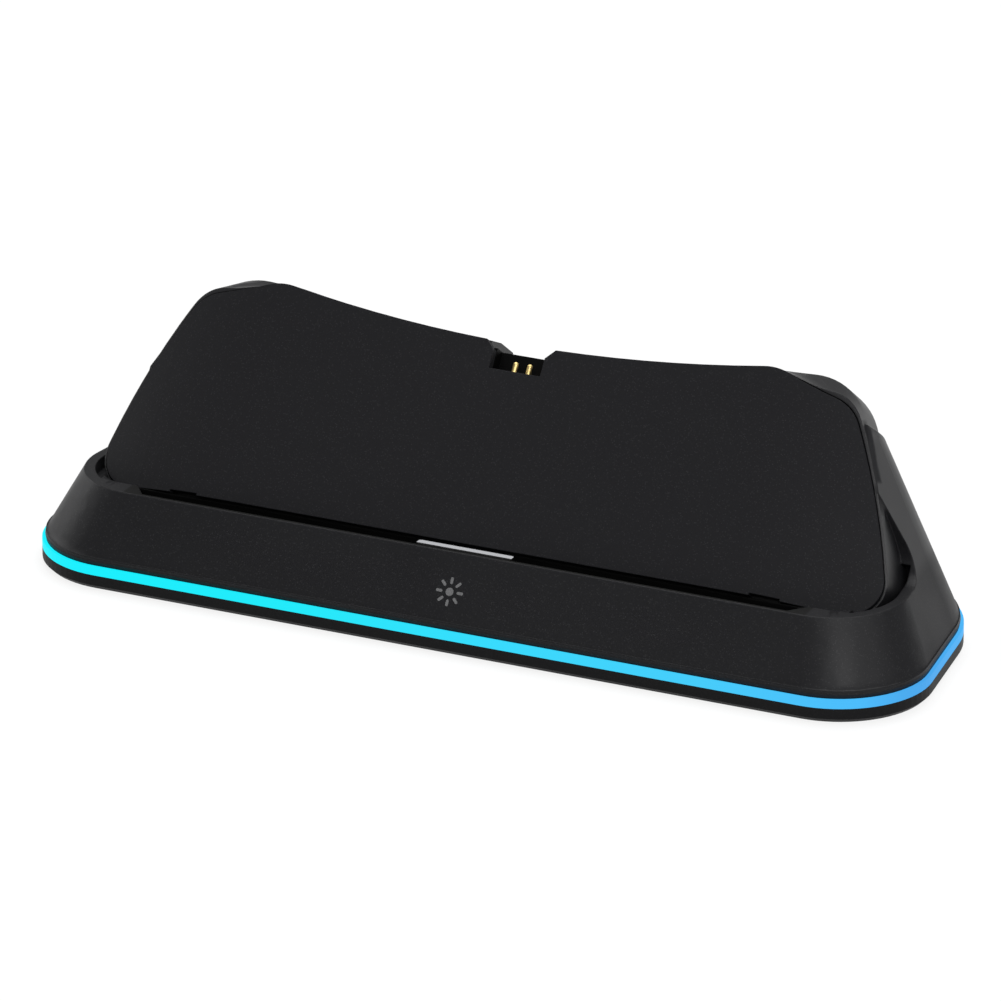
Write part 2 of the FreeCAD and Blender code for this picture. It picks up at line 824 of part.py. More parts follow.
lip = new_body("lip")
lip_sketch = outline(
    new_sketch(lip, "lip_outer", offset=STRIP_TOP), plan("sizes.slope_inset + sizes.groove_inset")
)
pad(lip, "lip_rise", lip_sketch, "sizes.groove_height * 2")
lip_inner = outline(
    new_sketch(lip, "lip_inner", offset=STRIP_TOP), plan("sizes.slope_inset + sizes.shell_wall")
)
pocket(lip, "lip_hollow", lip_inner, "sizes.groove_height * 2", Reversed=True)

seat = tower_box("seat", s("seat_half"), s("seat_low"), SADDLE_LOW, s("panel_thick"),
                 "sizes.tower_depth - sizes.shell_wall")
slot = tower_box("slot", s("slot_half"), s("slot_low"), "sizes.crest_rise * 1.2",
                 "sizes.panel_thick / 2", s("slot_back"))
crest_gap = tower_box("crest_gap", s("slot_half"), s("block_top"), "sizes.crest_rise * 1.2", "0",
                      "sizes.tower_depth * 1.2")
lead_hole = tower_box("lead_hole", s("lead_hole_half"), "sizes.seat_low - sizes.shell_wall",
                      "sizes.slot_low + sizes.contact_board_thick / 2", s("lead_hole_depth"),
                      "sizes.lead_hole_depth + sizes.lead_hole_width")

trough = new_body("trough")
trough_front = f"({RIM_Y} + sizes.rim_flat)"
trough_back = f"({PANEL_Y} + sizes.panel_thick * cos(sizes.panel_lean))"
trough_sketch = outline(
    new_sketch(trough, "trough_plan", offset=TROUGH_Z),
    [
        ("-(sizes.trough_half - sizes.trough_skew)", trough_front, None, None),
        ("sizes.trough_half - sizes.trough_skew", trough_front, None, None),
        (s("trough_half"), trough_back, None, None),
        ("-sizes.trough_half", trough_back, None, None),
    ],
)
pad(trough, "trough_rise", trough_sketch, "sizes.trough_depth * 1.2")

stem_hole = span_box(
    "stem_hole",
    "-(sizes.stem_half + sizes.stem_clearance)",
    "sizes.stem_half + sizes.stem_clearance",
    f"{BAR_Y} - sizes.stem_width / 2 - sizes.stem_clearance",
    f"{BAR_Y} + sizes.stem_width / 2 + sizes.stem_clearance",
    f"{CEILING_Z} - sizes.ceiling_wall",
    f"{TROUGH_Z} + sizes.bar_foot",
)


def pill(name, half, height, y0, y1, z):
    """Rounded slot along Y, centred on X."""
    body = new_body(name)
    sketch = outline(
        new_sketch(body, f"{name}_outline", role="XZ_Plane", offset=f"-({y0})"),
        [
            (f"-({half})", f"{z} - ({height}) / 2", f"({height}) * 0.45", None),
            (half, f"{z} - ({height}) / 2", f"({height}) * 0.45", None),
            (half, f"{z} + ({height}) / 2", f"({height}) * 0.45", None),
            (f"-({half})", f"{z} + ({height}) / 2", f"({height}) * 0.45", None),
        ],
    )
    pad(body, f"{name}_reach", sketch, f"({y1}) - ({y0})", Reversed=True)
    return body


inlet = pill("inlet", s("inlet_half"), s("inlet_height"), f"{SOCKET_FRONT} - sizes.socket_gap",
             BACK_Y, SOCKET_Z)
BACK_AT_SOCKET = f"({BACK_Y} - sizes.slope_inset - ({SOCKET_Z} - {SHELL_LOW}) * tan(sizes.back_lean))"
inlet_recess = pill("inlet_recess", s("inlet_recess_half"), s("inlet_recess_height"),
                    f"{BACK_AT_SOCKET} - sizes.inlet_recess_depth", f"{BACK_Y} + sizes.slope_inset",
                    SOCKET_Z)

SCREW_PLACES = [
    (f"{sign}sizes.{row}_boss_x", s(f"{row}_boss_y"), row)
    for row in ("front", "rear")
    for sign in ("-", "")
]
BOSS_HEIGHT = {
    "front": f"{CEILING_Z} + sizes.ceiling_wall / 2 - {POST_TOP}",
    "rear": s("rear_boss_height"),
}
bosses = []
boss_bores = []
for index, (x, y, row) in enumerate(SCREW_PLACES):
    bosses.append(place(rod(f"boss_{index}", s("boss_radius"), BOSS_HEIGHT[row]), x, y, POST_TOP))
    bore = rod(f"boss_bore_{index}", "sizes.screw_radius + sizes.screw_clearance", s("screw_length"))
    boss_bores.append(place(bore, x, y, f"{POST_TOP} - sizes.screw_head_height"))
boss_set = doc.addObject("Part::MultiCommon", "boss_set")
boss_set.Shapes = [join("boss_stock", bosses), lower_form]

lamp_bosses = []
for index, sign in enumerate(("-", "")):
    lamp_boss = rod(f"lamp_boss_{index}", s("lamp_boss_radius"),
                    f"{CEILING_Z} + sizes.ceiling_wall / 2 - {LAMP_BOARD_TOP}")
    lamp_bosses.append(place(lamp_boss, f"{sign}sizes.lamp_boss_place", BAR_Y, LAMP_BOARD_TOP))

plinth = cut("plinth", lower_form, moat)
housing_stock = join("housing_stock", [plinth, tower, tower_root])
housing_hollow = cut("housing_hollow", housing_stock, join("hollow_set", [hollow_room, window]))
housing_frame = join("housing_frame", [housing_hollow, lip, seat, boss_set] + lamp_bosses)
housing_cuts = join(
    "housing_cuts",
    [slot, crest_gap, lead_hole, trough, panel_bed, stem_hole, inlet, inlet_recess] + boss_bores,
)
housing = cut("housing", housing_frame, housing_cuts)

# Face panel with its push-in tabs

panel = new_body("front_panel")
place(panel, "0", PANEL_Y, PANEL_Z, "90 - sizes.panel_lean")
panel_sketch = outline(
    new_sketch(panel, "panel_outline"),
    crest(s("foot_half"), "0", s("shoulder_half"), s("shoulder_rise"), s("dip_bow"),
          s("peak_half"), s("peak_rise")),
)
pad(panel, "panel_plate", panel_sketch, s("tower_depth"), Reversed=True)
roll_cut(panel, "panel_front", "0", "ahead")
roll_cut(panel, "panel_rear", s("panel_thick"), "behind")
notch_sketch = outline(
    new_sketch(panel, "notch_outline"),
    [
        ("-sizes.notch_half", s("notch_floor"), None, None),
        (s("notch_half"), s("notch_floor"), None, None),
        (s("notch_half"), f"{SADDLE_LOW} - sizes.notch_lead", None, None),
        ("2 * sizes.notch_mouth - sizes.notch_half", f"{SADDLE_LOW} + sizes.notch_lead", None, None),
        ("-(2 * sizes.notch_mouth - sizes.notch_half)", f"{SADDLE_LOW} + sizes.notch_lead", None, None),
        ("-sizes.notch_half", f"{SADDLE_LOW} - sizes.notch_lead", None, None),
    ],
)
pocket(panel, "panel_notch", notch_sketch, s("panel_thick"))
for label, sign in (("left", "-"), ("right", "")):
    middle = f"{sign}sizes.tab_place"
    relief = outline(
        new_sketch(panel, f"relief_{label}"),
        [
            (f"{middle} - sizes.tab_width / 2", "-sizes.tab_relief", None, None),
            (f"{middle} + sizes.tab_width / 2", "-sizes.tab_relief", None, None),
            (f"{middle} + sizes.tab_width / 2", s("tab_relief"), None, None),
            (f"{middle} - sizes.tab_width / 2", s("tab_relief"), None, None),
        ],
    )
    pocket(panel, f"panel_relief_{label}", relief, "2 * sizes.panel_thick")
TAB_PLACES = [
    ("lower_left", "-sizes.tab_place", "sizes.window_low + sizes.tab_clearance"),
    ("lower_right", "sizes.tab_place", "sizes.window_low + sizes.tab_clearance"),
    ("upper_left", "-sizes.tab_upper_place",
     "sizes.window_high - sizes.tab_clearance - sizes.tab_thick"),
    ("upper_right", "sizes.tab_upper_place",
     "sizes.window_high - sizes.tab_clearance - sizes.tab_thick"),
]
for label, x, q in TAB_PLACES:
    tab = outline(
        new_sketch(panel, f"tab_{label}", offset="-sizes.panel_thick"),
        [
            (f"{x} - sizes.tab_width / 2", q, None, None),
            (f"{x} + sizes.tab_width / 2", q, None, None),
            (f"{x} + sizes.tab_width / 2", f"{q} + sizes.tab_thick", None, None),
            (f"{x} - sizes.tab_width / 2", f"{q} + sizes.tab_thick", None, None),
        ],
    )
    pad(panel, f"panel_tab_{label}", tab, s("tab_length"), Reversed=True)

# Base tray with its posts, feet recesses and screw holes

tray = new_body("tray")
tray_sketch = outline(new_sketch(tray, "tray_outline", offset=TRAY_LOW), plan("0"))
tray_slab = pad(tray, "tray_slab", tray_sketch, s("tray_band"))
tray_inner = outline(new_sketch(tray, "tray_inner", offset=TRAY_TOP), plan(s("strip_width")))
tray_pan = pocket(tray, "tray_pan", tray_inner, "sizes.tray_band - sizes.tray_floor")
doc.recompute()
tray_bevel = tray.newObject("PartDesign::Chamfer", "tray_bevel")
tray_bevel.Base = (
    tray_pan,
    [
        f"Edge{number}"
        for number, edge in enumerate(tray_pan.Shape.Edges, start=1)
        if edge.BoundBox.ZMax < num(TRAY_LOW) + 1e-6
    ],
)
bind(tray_bevel, Size=s("tray_edge"))

posts = []
post_bores = []
for index, (x, y, row) in enumerate(SCREW_PLACES):
    post = rod(f"post_{index}", s("post_radius"), f"{POST_TOP} - {TRAY_LOW} - sizes.tray_floor / 2")
    posts.append(place(post, x, y, f"{TRAY_LOW} + sizes.tray_floor / 2"))
    bore = rod(f"post_bore_{index}", s("post_bore"), f"{POST_TOP} + sizes.foot_proud")
    post_bores.append(place(bore, x, y, "0"))
    head = rod(f"head_bore_{index}", s("head_bore"), "sizes.head_depth + sizes.foot_proud")
    post_bores.append(place(head, x, y, "0"))
BOARD_PLACES = [
    (f"{sign}(sizes.board_half - sizes.board_post_inset)", y)
    for y in (f"{BOARD_FRONT} + sizes.board_post_inset", f"{BOARD_BACK} - sizes.board_post_inset")
    for sign in ("-", "")
]
for index, (x, y) in enumerate(BOARD_PLACES):
    post = rod(f"board_post_{index}", s("board_post_radius"),
               f"{POST_TOP} - {TRAY_LOW} - sizes.tray_floor / 2")
    posts.append(place(post, x, y, f"{TRAY_LOW} + sizes.tray_floor / 2"))
    bore = rod(f"board_bore_{index}", "sizes.board_screw_radius + sizes.screw_clearance",
               s("board_screw_length"))
    post_bores.append(place(bore, x, y, f"{POST_TOP} - sizes.board_screw_length / 2"))
FOOT_PLACES = [
    (f"{sign}sizes.{row}_foot_x", s(f"{row}_foot_y")) for row in ("front", "rear") for sign in ("-", "")
]
feet = []
for index, (x, y) in enumerate(FOOT_PLACES):
    recess = rod(f"foot_recess_{index}", "sizes.foot_radius + sizes.foot_clearance",
                 "sizes.foot_proud + sizes.foot_recess")
    post_bores.append(place(recess, x, y, "0"))
    foot = rod(f"foot_{index}", s("foot_radius"), "sizes.foot_proud + sizes.foot_recess")
    feet.append(place(foot, x, y, "0"))
base_tray = cut("base_tray", join("tray_stock", [tray] + posts), join("tray_bores", post_bores))
rubber_feet = group("rubber_feet", feet)

# Light band round the foot, its board and lamps

band = new_body("light_strip")
band_sketch = outline(new_sketch(band, "band_outer", offset=TRAY_TOP), plan("0"))
pad(band, "band_ring", band_sketch, s("strip_height"))
band_inner = outline(new_sketch(band, "band_inner", offset=STRIP_TOP), plan(s("strip_width")))
pocket(band, "band_hole", band_inner, s("strip_height"))

BAND_IN = f"({FRONT_Y} + sizes.strip_width)"
band_board = span_box("band_board", "-sizes.band_board_half", s("band_board_half"),
                      f"{BAND_IN} + sizes.band_board_gap",
                      f"{BAND_IN} + sizes.band_board_gap + sizes.band_board_thick",
                      FLOOR_TOP, f"{FLOOR_TOP} + sizes.band_board_height")
BAND_LAMP_COUNT = 6
band_lamps = []
for step in range(-BAND_LAMP_COUNT, BAND_LAMP_COUNT + 1):
    lamp = span_box(f"band_lamp_{step + BAND_LAMP_COUNT}",
                    f"{step} * sizes.band_lamp_pitch - sizes.band_lamp_length / 2",
                    f"{step} * sizes.band_lamp_pitch + sizes.band_lamp_length / 2",
                    f"{BAND_IN} + sizes.band_lamp_gap", f"{BAND_IN} + sizes.band_board_gap",
                    f"{TRAY_TOP} + sizes.strip_height / 2 - sizes.band_lamp_height / 2",
                    f"{TRAY_TOP} + sizes.strip_height / 2 + sizes.band_lamp_height / 2")
    band_lamps.append(lamp)
band_lamp_row = group("band_lamps", band_lamps)

# Light bar in the trough with its lamp, and the touch key behind the slope

light_bar = new_body("light_bar")
bar_sketch = outline(
    new_sketch(light_bar, "bar_plan", offset=TROUGH_Z),
    [
        ("-sizes.bar_half", f"{BAR_Y} - sizes.bar_width / 2", "sizes.bar_width * 0.48", None),
        (s("bar_half"), f"{BAR_Y} - sizes.bar_width / 2", "sizes.bar_width * 0.48", None),
        (s("bar_half"), f"{BAR_Y} + sizes.bar_width / 2", "sizes.bar_width * 0.48", None),
        ("-sizes.bar_half", f"{BAR_Y} + sizes.bar_width / 2", "sizes.bar_width * 0.48", None),
    ],
)
pad(light_bar, "bar_rise", bar_sketch, "sizes.trough_depth - sizes.bar_drop")
stem_sketch = outline(
    new_sketch(light_bar, "stem_plan", offset=TROUGH_Z),
    [
        ("-sizes.stem_half", f"{BAR_Y} - sizes.stem_width / 2", None, None),
        (s("stem_half"), f"{BAR_Y} - sizes.stem_width / 2", None, None),
        (s("stem_half"), f"{BAR_Y} + sizes.stem_width / 2", None, None),
        ("-sizes.stem_half", f"{BAR_Y} + sizes.stem_width / 2", None, None),
    ],
)
pad(light_bar, "bar_stem", stem_sketch, s("ceiling_wall"), Reversed=True)

lamp_board = span_box("lamp_board", "-sizes.lamp_board_half", s("lamp_board_half"),
                      f"{BAR_Y} - sizes.lamp_board_width / 2", f"{BAR_Y} + sizes.lamp_board_width / 2",
                      f"{LAMP_BOARD_TOP} - sizes.lamp_board_thick", LAMP_BOARD_TOP)
status_lamp = span_box("status_lamp", "-sizes.lamp_length / 2", "sizes.lamp_length / 2",
                       f"{BAR_Y} - sizes.lamp_width / 2", f"{BAR_Y} + sizes.lamp_width / 2",
                       LAMP_BOARD_TOP, LAMP_TOP)


def on_slope(thing, x, rise, behind):
    """Place an object on the inner face of the front slope, its Z axis up the slope."""
    lean = s("slope_lean")
    y = f"({SLOPE_Y} + sizes.shell_wall + ({rise}) * tan({lean}) + ({behind}) * cos({lean}))"
    z = f"({SHELL_LOW} + ({rise}) - ({behind}) * sin({lean}))"
    return place(thing, x, y, z, "-sizes.slope_lean")


touch_board = on_slope(box("touch_board", "2 * sizes.touch_half", s("touch_thick"), s("touch_height")),
                       "-sizes.touch_half", s("touch_rise"), "0")
touch_chip = on_slope(box("touch_chip", s("touch_chip_size"), s("touch_chip_thick"), s("touch_chip_size")),
                      "-sizes.touch_chip_size / 2", "sizes.touch_rise + sizes.touch_chip_size / 2",
                      s("touch_thick"))

# Main board with its parts, and the power inlet

board_plate = span_box("board_plate", "-sizes.board_half", s("board_half"), BOARD_FRONT, BOARD_BACK,
                       POST_TOP, BOARD_TOP)
board_holes = []
board_screws = []
for index, (x, y) in enumerate(BOARD_PLACES):
    hole = rod(f"board_hole_{index}", "sizes.board_screw_radius + sizes.screw_clearance",
               "2 * sizes.board_thick")
    board_holes.append(place(hole, x, y, f"{POST_TOP} - sizes.board_thick / 2"))
    shank = rod(f"board_shank_{index}", s("board_screw_radius"), s("board_screw_length"))
    place(shank, x, y, f"{BOARD_TOP} + sizes.board_head_height / 2 - sizes.board_screw_length")
    head = rod(f"board_head_{index}", s("board_head_radius"), s("board_head_height"))
    place(head, x, y, BOARD_TOP)
    board_screws.append(join(f"board_screw_{index}", [shank, head]))
main_board = cut("main_board", board_plate, join("board_hole_set", board_holes))
board_screw_set = group("board_screws", board_screws)


def on_board(name, x, y, size, height):
    """Square component standing on the main board."""
    return span_box(name, f"{x} - ({size}) / 2", f"{x} + ({size}) / 2", f"{y} - ({size}) / 2",
                    f"{y} + ({size}) / 2", BOARD_TOP, f"{BOARD_TOP} + {height}")


BOARD_MID = f"({BOARD_FRONT} + sizes.board_depth / 2)"
power_chip = on_board("power_chip", "-sizes.board_half / 3", BOARD_MID, s("chip_size"), s("chip_height"))
power_coil = on_board("power_coil", "sizes.board_half / 3", BOARD_MID, s("coil_size"), s("coil_height"))
capacitors = group("capacitors", [
    on_board(f"capacitor_{index}", f"sizes.board_half * {share}", BOARD_MID, s("cap_size"), s("cap_height"))
    for index, share in enumerate((-0.6, 0.08, 0.6))
])

socket = new_body("socket_shell")
for label, inset, depth in (("outer", "0", "0"), ("inner", s("socket_skin"), "0")):
    half = f"(sizes.socket_half - ({inset}))"
    rise = f"(sizes.socket_height / 2 - ({inset}))"
    sketch = outline(
        new_sketch(socket, f"socket_{label}", role="XZ_Plane", offset=f"-{SOCKET_FRONT}"),
        [
            (f"-{half}", f"{SOCKET_Z} - {rise}", f"{rise} * 0.9", None),
            (half, f"{SOCKET_Z} - {rise}", f"{rise} * 0.9", None),
            (half, f"{SOCKET_Z} + {rise}", f"{rise} * 0.9", None),
            (f"-{half}", f"{SOCKET_Z} + {rise}", f"{rise} * 0.9", None),
        ],
    )
    if label == "outer":
        pad(socket, "socket_can", sketch, s("socket_depth"))
    else:
        pocket(socket, "socket_mouth", sketch, "sizes.socket_depth - 4 * sizes.socket_skin", Reversed=True)
tongue = span_box("socket_tongue", "-sizes.tongue_half", s("tongue_half"),
                  f"{SOCKET_FRONT} - sizes.socket_depth + 4 * sizes.socket_skin",
                  f"{SOCKET_FRONT} - sizes.socket_depth + 4 * sizes.socket_skin + sizes.tongue_depth",
                  f"{SOCKET_Z} - sizes.tongue_thick / 2", f"{SOCKET_Z} + sizes.tongue_thick / 2")

ballast = span_box("ballast_plate", "-sizes.ballast_half", s("ballast_half"),
                   "sizes.ballast_y - sizes.ballast_depth / 2", "sizes.ballast_y + sizes.ballast_depth / 2",
                   FLOOR_TOP, f"{FLOOR_TOP} + sizes.ballast_thick")

base_screws = []
for index, (x, y, row) in enumerate(SCREW_PLACES):
    head = rod(f"screw_head_{index}", s("screw_head_radius"), s("screw_head_height"))
    place(head, x, y, f"{TRAY_LOW} + sizes.head_depth - sizes.screw_head_height")
    shank = rod(f"screw_shank_{index}", s("screw_radius"), s("screw_length"))
    place(shank, x, y, f"{TRAY_LOW} + sizes.head_depth")
    base_screws.append(join(f"base_screw_{index}", [head, shank]))
base_screw_set = group("base_screws", base_screws)

# Charging contacts in the notch

contact_board = tower_box("contact_board", "sizes.slot_half - sizes.slot_clearance", s("slot_low"),
                          BARREL_LOW, "sizes.panel_thick + sizes.slot_clearance",
                          "sizes.slot_back - sizes.slot_clearance")
block_stock = tower_box("block_stock", "sizes.slot_half - sizes.slot_clearance", BARREL_LOW,
                        s("block_top"), "sizes.panel_thick + sizes.slot_clearance",
                        "sizes.slot_back - sizes.slot_clearance")
block_pocket = tower_box("block_pocket", s("notch_half"), s("block_floor"), "sizes.block_top * 1.2", "0",
                         s("pocket_back"))
block_bores = []
contacts = {}
for label, sign in (("left", "-"), ("right", "")):
    x = f"{sign}sizes.contact_pitch / 2"
    bore = rod(f"block_bore_{label}", "sizes.barrel_radius + sizes.barrel_clearance", s("block_floor"))
    block_bores.append(on_tower(bore, x, "sizes.slot_low / 2", s("contact_depth")))
    skin = rod(f"barrel_skin_{label}", s("barrel_radius"), f"{BARREL_TOP} - {BARREL_LOW}")
    on_tower(skin, x, BARREL_LOW, s("contact_depth"))
    well = rod(f"barrel_well_{label}", "sizes.collar_radius + sizes.plunger_clearance",
               f"{BARREL_TOP} - sizes.barrel_neck - {BARREL_LOW} - sizes.barrel_floor")
    on_tower(well, x, f"{BARREL_LOW} + sizes.barrel_floor", s("contact_depth"))
    throat = rod(f"barrel_throat_{label}", "sizes.plunger_radius + sizes.plunger_clearance",
                 "2 * sizes.barrel_neck")
    on_tower(throat, x, f"{BARREL_TOP} - 1.5 * sizes.barrel_neck", s("contact_depth"))
    barrel = cut(f"barrel_{label}", skin, join(f"barrel_bore_{label}", [well, throat]))
    collar = rod(f"collar_{label}", s("collar_radius"), s("collar_length"))
    on_tower(collar, x, COLLAR_LOW, s("contact_depth"))
    shaft = rod(f"shaft_{label}", s("plunger_radius"),
                f"{BARREL_TOP} + sizes.plunger_proud - sizes.plunger_radius - {COLLAR_LOW}")
    on_tower(shaft, x, COLLAR_LOW, s("contact_depth"))
    tip = bind(doc.addObject("Part::Sphere", f"tip_{label}"), Radius=s("plunger_radius"))
    on_tower(tip, x, f"{BARREL_TOP} + sizes.plunger_proud - sizes.plunger_radius", s("contact_depth"))
    plunger = join(f"plunger_{label}", [collar, shaft, tip])
    contacts[label] = (barrel, plunger)
contact_block = cut("contact_block", block_stock, join("block_cuts", [block_pocket] + block_bores))


def ring_wire(radius, sides, centre, axis):
    """Flat-sided section of a thin wire."""
    turn = Rotation(Vector(0, 0, 1), axis)
    corners = [
        centre + turn.multVec(Vector(radius * math.cos(angle), radius * math.sin(angle), 0))
        for angle in (2 * math.pi * index / sides for index in range(sides))
    ]
    return Part.makePolygon(corners + corners[:1])


def coil_spring(name, x):
    """Coil spring under one plunger."""
    wire_radius = num(s("spring_wire"))
    low = num(f"{BARREL_LOW} + sizes.barrel_floor") + 2 * wire_radius
    high = num(COLLAR_LOW) - 2 * wire_radius
    radius = num(s("spring_radius"))
    path = Part.makeHelix((high - low) / num(s("spring_turns")), high - low, radius)
    ring = ring_wire(wire_radius, 4, Vector(radius, 0, 0), Vector(0, 1, 0))
    feature = doc.addObject("Part::Feature", name)
    feature.Shape = Part.Wire(path.Edges).makePipeShell([ring], True, True)
    y, z = tower_point(str(low), s("contact_depth"))
    feature.Placement = Placement(
        Vector(num(x), num(y), num(z)), Rotation(Vector(1, 0, 0), -num(s("panel_lean")))
    )
    return feature


springs = {
    "left": coil_spring("spring_left", "-sizes.contact_pitch / 2"),
    "right": coil_spring("spring_right", "sizes.contact_pitch / 2"),
}


def lead(name, stops):
    """Round wire through stops, bent at each one between the ends."""
    points = [Vector(*(num(value) for value in stop)) for stop in stops]
    radius = num(s("lead_radius"))
    bend = num(s("lead_bend"))
    edges = []
    start = points[0]
    for before, corner, after in zip(points, points[1:], points[2:]):
        back = (before - corner).normalize()
        ahead = (after - corner).normalize()
        half = back.getAngle(ahead) / 2
        trim = bend / math.tan(half)
        first = corner + back * trim
        last = corner + ahead * trim
        centre = corner + (back + ahead).normalize() * (bend / math.sin(half))
        middle = centre + (corner - centre).normalize() * bend
        edges.append(Part.LineSegment(start, first).toShape())
        edges.append(Part.Arc(first, middle, last).toShape())
        start = last
    edges.append(Part.LineSegment(start, points[-1]).toShape())
    ring = ring_wire(radius, 6, points[0], points[1] - points[0])
    feature = doc.addObject("Part::Feature", name)
    feature.Shape = Part.Wire(edges).makePipeShell([ring], True, True)
    return feature


LEAD_DEPTH = "(sizes.lead_hole_depth + sizes.lead_hole_width / 2)"
contact_leads = []
for label, sign in (("left", "-"), ("right", "")):
    x = f"{sign}sizes.contact_pitch / 2"
    stops = [
        (x,) + tower_point(s("slot_low"), LEAD_DEPTH),
        (x,) + tower_point("sizes.seat_low - 4 * sizes.lead_bend", LEAD_DEPTH),
        (x, f"{BOARD_FRONT} + sizes.lead_bend", f"{BOARD_TOP} + 4 * sizes.lead_bend"),
        (x, f"{BOARD_FRONT} + sizes.lead_bend", BOARD_TOP),
    ]
    contact_leads.append(lead(f"contact_lead_{label}", stops))
contact_lead_set = group("contact_leads", contact_leads)

LAMP_LEAD_Z = f"({LAMP_BOARD_TOP} - sizes.lamp_board_thick / 2)"
LAMP_LEAD_Y = f"({BAR_Y} + sizes.lamp_board_width / 2)"
LEAD_LAND_Y = f"({BOARD_FRONT} + sizes.lead_bend)"
TOUCH_LEAD_Z = f"({POST_TOP} + sizes.board_thick / 2)"
TOUCH_LEAD_Y = (
    f"({SLOPE_Y} + sizes.shell_wall + ({TOUCH_LEAD_Z} - {SHELL_LOW} + sizes.lead_radius)"
    " * tan(sizes.slope_lean) + sizes.touch_thick / cos(sizes.slope_lean))"
)
BAND_LEAD_X = "(sizes.ballast_half + sizes.lead_bend)"
BAND_LEAD_Y = f"({BAND_IN} + sizes.band_board_gap + sizes.band_board_thick)"
BAND_LEAD_Z = f"({FLOOR_TOP} + sizes.band_board_height / 2)"
BAND_LIFT_Z = f"({BOARD_TOP} + 1.2 * sizes.lead_bend)"
BAND_LAND_X = "(sizes.board_half - sizes.lead_bend)"
board_leads = []
for index, shift in enumerate(("-2 * sizes.lead_radius", "2 * sizes.lead_radius")):
    lamp_x = f"(sizes.lamp_boss_place + {shift})"
    lamp_stops = [
        (lamp_x, LAMP_LEAD_Y, LAMP_LEAD_Z),
        (lamp_x, LEAD_LAND_Y, LAMP_LEAD_Z),
        (lamp_x, LEAD_LAND_Y, BOARD_TOP),
    ]
    board_leads.append(lead(f"lamp_lead_{index}", lamp_stops))
    touch_x = f"(-sizes.lamp_boss_place + {shift})"
    touch_stops = [(touch_x, TOUCH_LEAD_Y, TOUCH_LEAD_Z), (touch_x, BOARD_FRONT, TOUCH_LEAD_Z)]
    board_leads.append(lead(f"touch_lead_{index}", touch_stops))
    band_x = f"({BAND_LEAD_X} + {shift})"
    band_y = f"({BOARD_MID} + {shift})"
    band_stops = [
        (band_x, BAND_LEAD_Y, BAND_LEAD_Z),
        (band_x, band_y, BAND_LEAD_Z),
        (band_x, band_y, BAND_LIFT_Z),
        (BAND_LAND_X, band_y, BAND_LIFT_Z),
        (BAND_LAND_X, band_y, BOARD_TOP),
    ]
    board_leads.append(lead(f"band_lead_{index}", band_stops))
board_lead_set = group("board_leads", board_leads)

# Finished pieces, one file each

NODES = {
    "housing": housing,
    "front_panel": panel,
    "base_tray": base_tray,
    "light_strip": band,
    "rubber_feet": rubber_feet,
    "base_screws": base_screw_set,
    "ballast_plate": ballast,
    "main_board": main_board,
    "board_screws": board_screw_set,
    "power_chip": power_chip,
    "power_coil": power_coil,
    "capacitors": capacitors,
    "socket_shell": socket,
    "socket_tongue": tongue,
    "band_board": band_board,
    "band_lamps": band_lamp_row,
    "light_bar": light_bar,
    "lamp_board": lamp_board,
    "status_lamp": status_lamp,
    "touch_board": touch_board,
    "touch_chip": touch_chip,
    "contact_board": contact_board,
    "contact_block": contact_block,
    "barrel_left": contacts["left"][0],
    "barrel_right": contacts["right"][0],
    "plunger_left": contacts["left"][1],
    "plunger_right": contacts["right"][1],
    "spring_left": springs["left"],
    "spring_right": springs["right"],
    "contact_leads": contact_lead_set,
    "board_leads": board_lead_set,
}

doc.recompute()
faults = [item.Name for item in doc.Objects if "Invalid" in item.State or "Error" in item.State]
if faults:
    raise RuntimeError(f"objects in error: {faults}")
os.makedirs("parts", exist_ok=True)
for name, piece in NODES.items():
    if piece.Shape.isNull() or not piece.Shape.isValid():
        raise RuntimeError(f"{name} has no valid shape")
    piece.Label = name
    piece.Shape.exportStep(f"parts/{name}.step")
    bounds = piece.Shape.BoundBox
    print(f"{name:16s} solids {len(piece.Shape.Solids):2d} volume {piece.Shape.Volume:10.1f}"
          f"  x {bounds.XMin:7.2f} {bounds.XMax:7.2f}  y {bounds.YMin:7.2f} {bounds.YMax:7.2f}"
          f"  z {bounds.ZMin:7.2f} {bounds.ZMax:7.2f}")
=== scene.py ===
"""Looks of a handheld console charging dock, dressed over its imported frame."""
import json
import logging
import math
from dataclasses import dataclass
from enum import Enum

import bmesh
import bpy
from mathutils import Matrix, Vector


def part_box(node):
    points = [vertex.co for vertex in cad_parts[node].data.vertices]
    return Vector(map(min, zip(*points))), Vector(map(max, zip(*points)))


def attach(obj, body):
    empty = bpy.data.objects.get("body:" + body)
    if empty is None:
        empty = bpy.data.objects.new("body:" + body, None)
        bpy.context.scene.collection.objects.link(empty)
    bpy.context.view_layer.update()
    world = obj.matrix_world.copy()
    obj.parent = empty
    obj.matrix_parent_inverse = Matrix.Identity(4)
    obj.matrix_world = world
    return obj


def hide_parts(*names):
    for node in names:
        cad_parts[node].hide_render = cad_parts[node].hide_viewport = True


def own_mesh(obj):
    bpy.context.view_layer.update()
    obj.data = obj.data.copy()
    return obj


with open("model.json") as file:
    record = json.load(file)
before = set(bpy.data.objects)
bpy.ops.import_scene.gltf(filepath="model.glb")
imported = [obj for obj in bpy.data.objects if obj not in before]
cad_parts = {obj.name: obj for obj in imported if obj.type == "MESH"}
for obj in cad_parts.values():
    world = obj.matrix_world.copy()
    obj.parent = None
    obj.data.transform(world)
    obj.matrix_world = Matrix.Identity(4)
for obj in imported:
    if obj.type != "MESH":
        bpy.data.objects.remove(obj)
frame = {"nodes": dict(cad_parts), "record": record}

LOG = logging.getLogger("charging_dock")
MM = 0.001
DOCK = "dock"
PICTURE_SIDE = 1001
GRAIN_STRENGTH = 0.35
SHADE_RANGE = (0.3, 0.7)
ROUGH_SPREAD = 0.04
